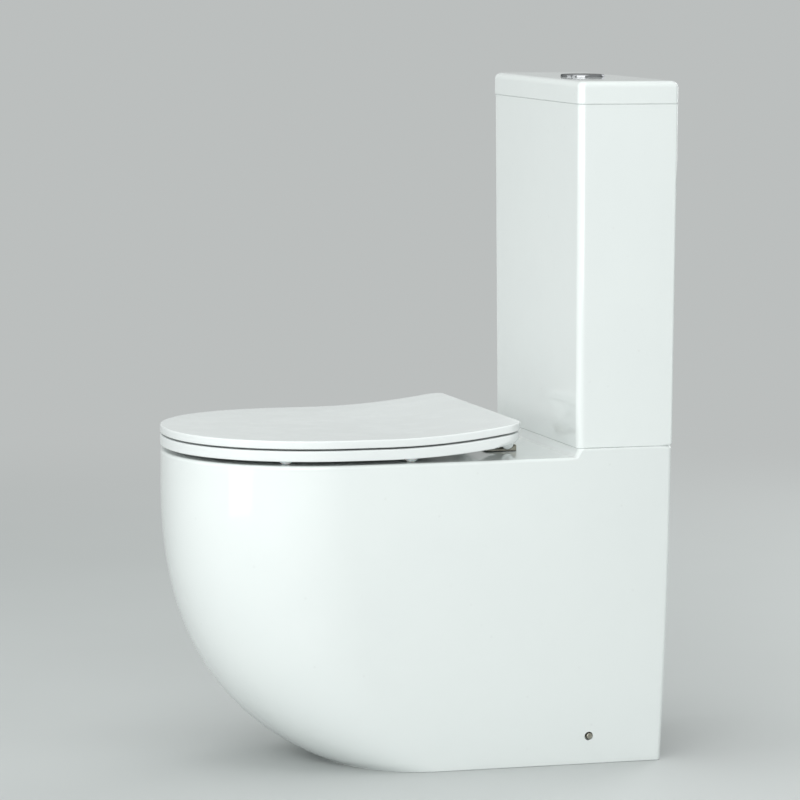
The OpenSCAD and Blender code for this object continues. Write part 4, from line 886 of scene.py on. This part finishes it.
cover = {
    "low": 0.822, "high": 0.850, "half": 0.1708, "front": 0.1288, "corner": 0.009, "rearCorner": 0.0045, "edge": 0.008,
    "footEdge": 0.0012, "thick": 0.010, "lipDepth": 0.010, "lipHalf": 0.160, "lipFront": 0.118,
    "lipRear": 0.0095, "lipThick": 0.006, "hole": 0.0245,
}


def coverPlan(z, inset):
    return atHeight(boxPlan(cover["half"] - inset, wallY - cover["front"] + inset, wallY - inset,
                            max(cover["corner"] - inset * 0.4, 0.002), max(cover["rearCorner"] - inset * 0.3, 0.001),
                            side=14), z)


def lipPlan(z, inset):
    return atHeight(boxPlan(cover["lipHalf"] - inset, wallY - cover["lipFront"] + inset,
                            wallY - cover["lipRear"] - inset,
                            max(0.005 - inset * 0.4, 0.0025), side=14), z)


def holeRing(z, r):
    ways = [Vector((x, y - valveY)).normalized() for x, y, _ in coverPlan(z, 0)]
    return [(d.x * r, valveY + d.y * r, z) for d in ways]


low, high, hole, lipThick = cover["low"], cover["high"], cover["hole"], cover["lipThick"]
ceiling, lipFoot = high - cover["thick"], low - cover["lipDepth"]
edge, footEdge = cover["edge"], cover["footEdge"]
coverRings = [holeRing(ceiling, hole)]
coverRings += between(holeRing(ceiling, hole), lipPlan(ceiling, lipThick + 0.001), (0.3, 0.7, 1.0))
coverRings += [lipPlan(z, inset) for z, inset in (
    (ceiling - 0.001, lipThick), (lipFoot + 0.0005, lipThick), (lipFoot, lipThick - 0.0006), (lipFoot, 0.0006),
    (lipFoot + 0.0006, 0), (low, 0))]
coverRings += between(lipPlan(low, 0), coverPlan(low, footEdge), (0.5,))
coverRings += [coverPlan(low + rise, inset) for inset, rise in bend(4, footEdge)]
coverRings += [coverPlan(low + footEdge + 0.001, 0), coverPlan(high - edge - 0.001, 0)]
coverRings += [coverPlan(high - drop, inset) for drop, inset in bend(10, edge)]
coverRings += between(coverPlan(high, edge), holeRing(high, hole + 0.0005), (0.04, 0.25, 0.5, 0.75, 1.0))
coverRings.append(holeRing(high - 0.0005, hole))
coverPiece = addObject("cisternCover", loftMesh("cisternCover", coverRings, closed=True))
keep(coverPiece, "white_glaze", "cistern_cover", "cistern_lid", angle=40)
print("cistern cover ready")

# flush button
button = {
    "rim": 0.0275, "top": 0.853, "seat": 0.850, "floor": 0.826, "housing": 0.024, "bore": 0.0228,
    "part": 0.0225, "low": 0.842, "split": 0.004, "gap": 0.00015, "rodSocket": 0.00255, "rodHole": 0.00256,
    "dish": 0.0006, "soft": 0.0009, "rimSoft": 0.0018, "boreSoft": 0.0008, "step": 0.0004,
}


def middleY(node):
    low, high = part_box(node)
    return (low[1] + high[1]) / 2


rodY = {"full": middleY("full_push_rod"), "half": middleY("half_push_rod")}
rimHigh, seatHigh = button["top"] - button["floor"], button["seat"] - button["floor"]
bezelProfile = [(button["housing"], 0.0), (button["housing"], seatHigh), (button["rim"] - button["step"], seatHigh),
                (button["rim"], button["seat"] + button["step"] - button["floor"])]
bezelProfile += [(button["rim"] - inset, rimHigh - drop) for drop, inset in bend(6, button["rimSoft"])]
bezelProfile += [(button["bore"] + inset, rimHigh - drop) for drop, inset in bend(4, button["boreSoft"])[::-1]]
bezelProfile.append((button["bore"], 0.002))
bezelPiece = addObject("buttonBezel", latheMesh("buttonBezel", bezelProfile, (0, valveY, button["floor"]), steps=96))
combine(bezelPiece, [drill(half + "RodHole", 0, y, button["rodHole"], 0.82, 0.835, 24) for half, y in rodY.items()],
        "DIFFERENCE")
keep(bezelPiece, "bright_chrome", "cistern_cover", "button_housing")


def buttonPart(half):
    # one part of the round button, cut off along a line, with a soft edge and a shallow dish
    r, low, high = button["part"], button["low"], button["top"]
    front = half == "full"
    cut = button["split"] + (-button["gap"] if front else button["gap"])
    reach = math.acos(cut / r)
    start, stop = math.pi / 2 + reach, (5 * math.pi / 2 if front else math.pi / 2) - reach
    if not front:
        start, stop = stop, start
    turns = [lerp(start, stop, k / 40) for k in range(41)]
    outline = [(r * math.cos(a), r * math.sin(a)) for a in turns]
    (ax, ay), (bx, by) = outline[-1], outline[0]
    outline += [(lerp(ax, bx, k / 12), lerp(ay, by, k / 12)) for k in range(1, 12)]
    middle = sum(y for x, y in outline) / len(outline)
    rings = [atHeight(inwards(outline, button["step"]), low), atHeight(outline, low + button["step"])]
    rings += [atHeight(inwards(outline, inset), high - drop) for drop, inset in bend(5, button["soft"])]
    for u in (0.92, 0.75, 0.5, 0.25):
        rings.append(atHeight(shrink(inwards(outline, button["soft"]), middle, u), high - button["dish"] * (1 - u * u)))
    name = half + "Button"
    piece = addObject(name, loftMesh(name, [[(x, y + valveY, z) for x, y, z in ring] for ring in rings]))
    socket = drill(name + "Rod", 0, rodY[half], button["rodSocket"], low - 0.002, low + 0.0042, 24)
    combine(piece, [socket], "DIFFERENCE")
    keep(piece, "bright_chrome", half + "_button", half + "_flush_button")


buttonPart("full")
buttonPart("half")
print("flush button ready")

# seat ring and lid
seat = {
    "front": 0.605, "straight": 0.413, "half": 0.181, "rearHalf": 0.178, "roundness": 2.15, "corner": 0.022,
    "ringRear": 0.198, "lidRear": 0.197, "ringLow": 0.3954, "ringThick": 0.013, "lidLow": 0.4106, "lidThick": 0.0100,
    "sweepFrom": 0.372, "sweepRadius": 0.980, "holeFromWall": 0.407, "holeHalf": 0.107, "holeReach": 0.131,
    "holePower": 2 / 0.9, "hingeY": wallY - 0.191, "hingeZ": 0.4006, "barrel": 0.008, "pin": 0.00306,
    "ringLug": 0.0622, "lidLug": 0.0808, "lugWide": 0.012, "notch": (0.0788, 0.0948), "notchRear": 0.212,
    "upperEdge": 0.0020, "lowerEdge": 0.0015, "mouthEdge": 0.005, "mouthUnder": 0.002, "cornerTuck": 0.0075,
}
seatSides = {"front": 56, "along": [k / 12 for k in range(1, 13)], "corner": 10, "rear": 14}


def swept(y):
    reach = seat["sweepFrom"] - (wallY - y)
    return seat["sweepRadius"] - math.sqrt(seat["sweepRadius"] ** 2 - reach ** 2) if reach > 0 else 0.0


def seatPlan(rear):
    return wholePlan(halfPlan(seat["front"], seat["straight"], seat["half"], seat["rearHalf"], seat["roundness"],
                              rear, seat["corner"], seatSides))


def sweepUp(plan, height):
    heights = [height] * len(plan) if isinstance(height, (int, float)) else height
    return [(x, y, z + swept(y)) for (x, y), z in zip(plan, heights)]


def lug(name, x, arm):
    # a barrel round the hinge pin and the arm that ties it to the sheet
    r, wide = seat["barrel"], seat["lugWide"]
    hub = [(r - 0.0007, 0), (r - 0.0002, 0.0002), (r, 0.0007), (r, wide - 0.0007), (r - 0.0002, wide - 0.0002),
           (r - 0.0007, wide)]
    outline = [(seat["hingeY"] + u, seat["hingeZ"] + v) for u, v in arm[::-1]]
    return [latheMesh(name + "Hub", hub, (x, seat["hingeY"], seat["hingeZ"]), "X", 56),
            roundedSlab(name + "Arm", outline, x + 0.0001, x + wide - 0.0001, 0.0006)]


def bothLugs(name, x, arm):
    return lug(name + ".R", x, arm) + lug(name + ".L", -x - seat["lugWide"], arm)


def pinCuts():
    return [latheMesh("pinCut." + side, [(seat["pin"], 0), (seat["pin"], 0.040)],
                      (x, seat["hingeY"], seat["hingeZ"]), "X", 40) for side, x in (("R", 0.058), ("L", -0.098))]


outer = seatPlan(seat["ringRear"])
holeY = wallY - seat["holeFromWall"]


def mouthPlan(grow):
    ways = [Vector((x, y - holeY)).normalized() for x, y in outer]
    reaches = [ovalReach(d, seat["holeHalf"] + grow, seat["holeReach"] + grow, seat["holePower"]) for d in ways]
    return [(d.x * r, holeY + d.y * r) for d, r in zip(ways, reaches)]


ringLow, ringHigh = seat["ringLow"], seat["ringLow"] + seat["ringThick"]
tucks = []
for x, y in outer:
    nearRear = smooth((y - (wallY - 0.235)) / 0.020) * smooth((abs(x) - 0.118) / 0.030)
    tucks.append(lerp(seat["lowerEdge"], seat["cornerTuck"], nearRear))
upper, mouthUnder = seat["upperEdge"], seat["mouthUnder"]
ninths = [k / 9 for k in range(1, 9)]
ringRings = [sweepUp(inwards(outer, [t * inset for t in tucks]), [ringLow + t * rise for t in tucks])
             for inset, rise in bend(5, 1)]
ringRings += [sweepUp(inwards(outer, inset), ringHigh - drop) for drop, inset in bend(5, upper)]
ringRings += [sweepUp(row, ringHigh) for row in between(inwards(outer, upper), mouthPlan(seat["mouthEdge"]), ninths)]
ringRings += [sweepUp(mouthPlan(inset), ringHigh - drop) for inset, drop in bend(7, seat["mouthEdge"])]
ringRings += [sweepUp(mouthPlan(inset), ringLow + rise) for rise, inset in bend(4, mouthUnder)]
ringRings += [sweepUp(row, ringLow) for row in between(mouthPlan(mouthUnder), inwards(outer, tucks), ninths)]
ringPiece = addObject("seatRing", loftMesh("seatRing", ringRings, closed=True))
upRing = ringLow + swept(wallY - seat["notchRear"]) - seat["hingeZ"]
ringArm = [(0, -0.007), (-0.035, upRing - 0.0015), (-0.035, upRing + 0.002), (-0.015, upRing + 0.004), (0, 0.0075)]
n0, n1 = seat["notch"]
combine(ringPiece, [
    boxMesh("notch.R", (n0, wallY - seat["notchRear"], 0.38), (n1, wallY - 0.15, 0.47)),
    boxMesh("notch.L", (-n1, wallY - seat["notchRear"], 0.38), (-n0, wallY - 0.15, 0.47)),
], "DIFFERENCE")
combine(ringPiece, bothLugs("ringLug", seat["ringLug"], ringArm), "UNION")
combine(ringPiece, pinCuts(), "DIFFERENCE")
keep(ringPiece, "seat_resin", "seat", "seat_ring")
print("seat ring ready")

lidPlan = seatPlan(seat["lidRear"])
lidLow, lidHigh = seat["lidLow"], seat["lidLow"] + seat["lidThick"]
shares = (0.06, 0.14, 0.24, 0.36, 0.48, 0.60, 0.72, 0.84, 0.95)
lower = seat["lowerEdge"]
lidRings = [sweepUp(shrink(inwards(lidPlan, lower), holeY, u), lidLow) for u in shares]
lidRings += [sweepUp(inwards(lidPlan, inset), lidLow + rise) for inset, rise in bend(5, lower)]
lidRings += [sweepUp(inwards(lidPlan, inset), lidHigh - drop) for drop, inset in bend(6, upper)]
lidRings += [sweepUp(shrink(inwards(lidPlan, upper), holeY, u), lidHigh) for u in shares[::-1]]
lidPiece = addObject("seatLid", loftMesh("seatLid", lidRings))
upLid = lidLow + swept(wallY - seat["lidRear"]) - seat["hingeZ"]
lidArm = [(-0.0075, 0), (-0.015, upLid - 0.008), (-0.015, upLid + 0.002), (-0.0065, upLid + 0.002), (0.001, 0.0075)]
combine(lidPiece, bothLugs("lidLug", seat["lidLug"], lidArm), "UNION")
combine(lidPiece, pinCuts(), "DIFFERENCE")
keep(lidPiece, "seat_resin", "lid", "seat_lid")
print("seat lid ready")

# stops under the ring and the lid
stops = {
    "bumpers": {"x": (0.147, 0.160), "rows": (0.490, 0.336), "low": 0.0055, "high": 0.0085},
    "buffers": {"x": (0.095, 0.140), "rows": (0.540, 0.330), "low": 0.0048, "high": 0.0050},
}


def standStops(name, stop, foot, head, body, node):
    # one stop for each row and side, from foot(y) up to head(y)
    low, high, middle = stop["low"], stop["high"], lerp(stop["low"], stop["high"], 0.6)
    profile = [(low * 0.80, 0), (low * 0.93, 0.05), (low, 0.14), (middle, 0.36), (high, 0.62), (high, 0.96),
               (high - 0.0003, 1)]
    model = addObject(name + "Model", latheMesh(name + "Model", profile, (0, 0, 0), steps=40))
    points = [(side * x, wallY - row, foot(wallY - row)) for x, row in zip(stop["x"], stop["rows"]) for side in (-1, 1)]
    heights = [head(y) - foot(y) for _, y, _ in points]
    values = {"Stop": model, "Coat": materials["white_buffer"]}
    piece = runTree(name, stopTree, points, values, "white_buffer", attributes={"tall": heights})
    bpy.data.objects.remove(model)
    keep(piece, "white_buffer", body, node)


standStops("seatStops", stops["bumpers"], lambda y: pan["deck"] + 0.0003,
           lambda y: ringLow + swept(y - 0.0085) + 0.0006, "seat", "seat_bumpers")
standStops("lidStops", stops["buffers"], lambda y: lidLow - 0.0019 + swept(y + 0.005),
           lambda y: lidLow + swept(y - 0.005) + 0.0004, "lid", "lid_buffers")
print("stops ready")

# hinge bases, their pads and the side caps
hinge = {
    "x": 0.0775, "half": 0.015, "front": 0.218, "rear": 0.1795, "low": 0.391, "tongue": 0.0008,
    "hollow": 0.0086, "lip": 0.3984, "lipRun": 0.0035, "ear": 0.0075, "earHalf": 0.003, "bore": 0.00305,
    "edge": 0.0004,
}
hingeY, hingeZ, rear = seat["hingeY"], seat["hingeZ"], wallY - hinge["rear"]
hollow = [(hingeY + hinge["hollow"] * math.cos(math.radians(a)), hingeZ + hinge["hollow"] * math.sin(math.radians(a)))
          for a in range(240, 321, 5)]
saddle = [(rear, hinge["low"]), (wallY - hinge["front"], hinge["low"]),
          (wallY - hinge["front"], hinge["low"] + hinge["tongue"])] + hollow
saddle += [(rear - hinge["lipRun"], hinge["lip"]), (rear - 0.001, hinge["lip"]), (rear, hinge["lip"] - 0.001)]
ear = [(hingeY + hinge["ear"] * math.cos(math.radians(a)), hingeZ + hinge["ear"] * math.sin(math.radians(a)))
       for a in range(0, 181, 6)]
ear += [(hingeY - hinge["ear"], hinge["low"] + 0.001), (hingeY + hinge["ear"], hinge["low"] + 0.001)]
cushion = {"front": 0.2176, "rear": 0.1799, "half": 0.0146, "edge": 0.0003, "bore": 0.0042}
plates, sheets, bores = [], [], []
for x in (-hinge["x"], hinge["x"]):
    plates += [roundedSlab("plate", saddle[::-1], x - hinge["half"], x + hinge["half"], hinge["edge"]),
               roundedSlab("fin", ear, x - hinge["earHalf"], x + hinge["earHalf"], hinge["edge"])]
    sheet = [(x + u * cushion["half"], wallY - cushion[v])
             for u, v in ((-1, "front"), (1, "front"), (1, "rear"), (-1, "rear"))]
    sheets.append(roundedSlab("sheet", sheet, pan["deck"], hinge["low"], cushion["edge"], "Z"))
    bores.append(drill("bore", x, studY, cushion["bore"], pan["deck"] - 0.01, hinge["low"] + 0.01, 40))
pinBore = latheMesh("pinBore", [(hinge["bore"], -0.1), (hinge["bore"], 0.1)], (0, hingeY, hingeZ), "X", 40)
basePiece = combine(joinAll("hingeBases", plates[:2]), plates[2:], "UNION")
keep(combine(basePiece, [pinBore], "DIFFERENCE"), "satin_nickel", "pan", "hinge_bases")
keep(combine(joinAll("hingeCushions", sheets), bores, "DIFFERENCE"), "black_rubber", "pan", "hinge_cushions")
print("hinge bases ready")

capHigh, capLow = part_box("side_caps")[1][0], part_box("side_screws")[1][0]
cap = {"r": 0.0040, "soft": 0.0014, "back": 0.0012}
capShape = [(cap["r"] - 0.0003, capLow - capHigh), (cap["r"], capLow - capHigh + 0.0003)]
capShape += [(cap["r"] - inset, -drop) for drop, inset in bend(5, cap["soft"])]
capShape += [(cap["r"] * 0.5, -0.00015), (cap["r"] * 0.2, -0.0002)]
capPlace = (0, wallY - openings["side"][0] + cap["back"], openings["side"][1])
caps = [latheMesh("cap", [(r, side * (h + capHigh)) for r, h in capShape], capPlace, "X", 48) for side in (1, -1)]
keep(joinAll("sideCaps", caps), "satin_nickel", "pan", "side_caps")
print("side caps ready")

# threads wound on the bolts, the studs and the inlet tail: place, top of the thread and slot
threads = {
    "boltThreads": {"at": (openings["bolts"][0], valveY), "on": "coupling_bolts", "slot": "zinc_steel",
                    "top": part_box("coupling_wing_nuts")[0][2], "clear": 0.0004,
                    "Radius": 0.00395, "Pitch": 0.00125, "Ridge": 0.0005},
    "studThreads": {"at": (openings["studs"][0], studY), "on": "hinge_studs", "slot": "zinc_steel",
                    "top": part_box("hinge_nuts")[0][2], "clear": 0.0004,
                    "Radius": 0.00395, "Pitch": 0.00125, "Ridge": 0.0005},
    "tailThread": {"at": (openings["inlet"][0], valveY), "on": "fill_valve_riser", "slot": "valve_plastic",
                   "top": 0.388, "clear": 0.001, "Radius": 0.0104, "Pitch": 0.0018, "Ridge": 0.0007},
}
for name, thread in threads.items():
    (x, y), low, slot = thread["at"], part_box(thread["on"])[0][2], thread["slot"]
    values = {label: thread[label] for label in ("Radius", "Pitch", "Ridge")}
    values.update({"Length": thread["top"] - low - 2 * thread["clear"], "Coat": materials[slot]})
    points = [(side * x, y, low + thread["clear"]) for side in ((1, -1) if x > 0 else (1,))]
    keep(runTree(name, threadTree, points, values, slot, 50), slot, "pan", angle=50)
print("threads ready")

# floor and room
room = {
    "floor": (0.58, 0.60, 0.595, 1), "backdrop": (0.50, 0.52, 0.515, 1), "half": 30,
    # the floor melts into the backdrop between these distances
    "fadeFrom": 1.3, "fadeTo": 3.4,
}
floorMesh = bpy.data.meshes.new("floor")
floorMesh.from_pydata([(x * room["half"], y * room["half"], 0) for x, y in ((-1, -1), (1, -1), (1, 1), (-1, 1))],
                      [], [(0, 1, 2, 3)])
floor = addObject("floor", floorMesh)
floorLook = bpy.data.materials.new("floorLook")
floorLook.use_nodes = True
tree = floorLook.node_tree
floorShader = tree.nodes["Principled BSDF"]
floorShader.inputs["Roughness"].default_value = 0.55
deepFloor = tuple(c * 0.97 for c in room["floor"][:3]) + (1,)
grit = placeGroup(floorLook, colourDrift, "drift", (room["floor"], deepFloor, 0.7, 0.01, 0.0))
feed(tree, floorShader.inputs["Base Color"], grit["Colour"])
coords = addNode(tree, "ShaderNodeTexCoord").outputs["Object"]
span = addNode(tree, "ShaderNodeVectorMath", {"operation": "LENGTH"}, Vector=coords)
far = addNode(tree, "ShaderNodeMapRange", {"interpolation_type": "SMOOTHSTEP"}, From_Min=room["fadeFrom"],
              From_Max=room["fadeTo"], Value=span.outputs["Value"])
rays = addNode(tree, "ShaderNodeLightPath").outputs
seen = addMath(tree, "MAXIMUM", rays["Is Camera Ray"], rays["Is Glossy Ray"])
seen = addMath(tree, "MAXIMUM", seen, rays["Is Transmission Ray"])
haze = addNode(tree, "ShaderNodeEmission", Color=room["backdrop"])
chooser = addNode(tree, "ShaderNodeMixShader")
shades = (addMath(tree, "MULTIPLY", seen, far.outputs["Result"]), floorShader.outputs[0], haze.outputs[0])
for socket, value in zip(chooser.inputs, shades):
    feed(tree, socket, value)
feed(tree, tree.nodes["Material Output"].inputs["Surface"], chooser.outputs[0])
floorMesh.materials.append(floorLook)

# the tall lamp stands on the floor and leaves it unlit, so that no edge shows at its foot
unlit = bpy.data.collections.new("unlit")
unlit.objects.link(floor)
unlit.collection_objects[0].light_linking.link_state = "EXCLUDE"
bpy.data.objects["window"].light_linking.receiver_collection = unlit

world = bpy.data.worlds.new("room")
bpy.context.scene.world = world
world.use_nodes = True
sky = world.node_tree.nodes["Background"]
sky.inputs["Color"].default_value = room["backdrop"]
sky.inputs["Strength"].default_value = 1.0
print("room ready")
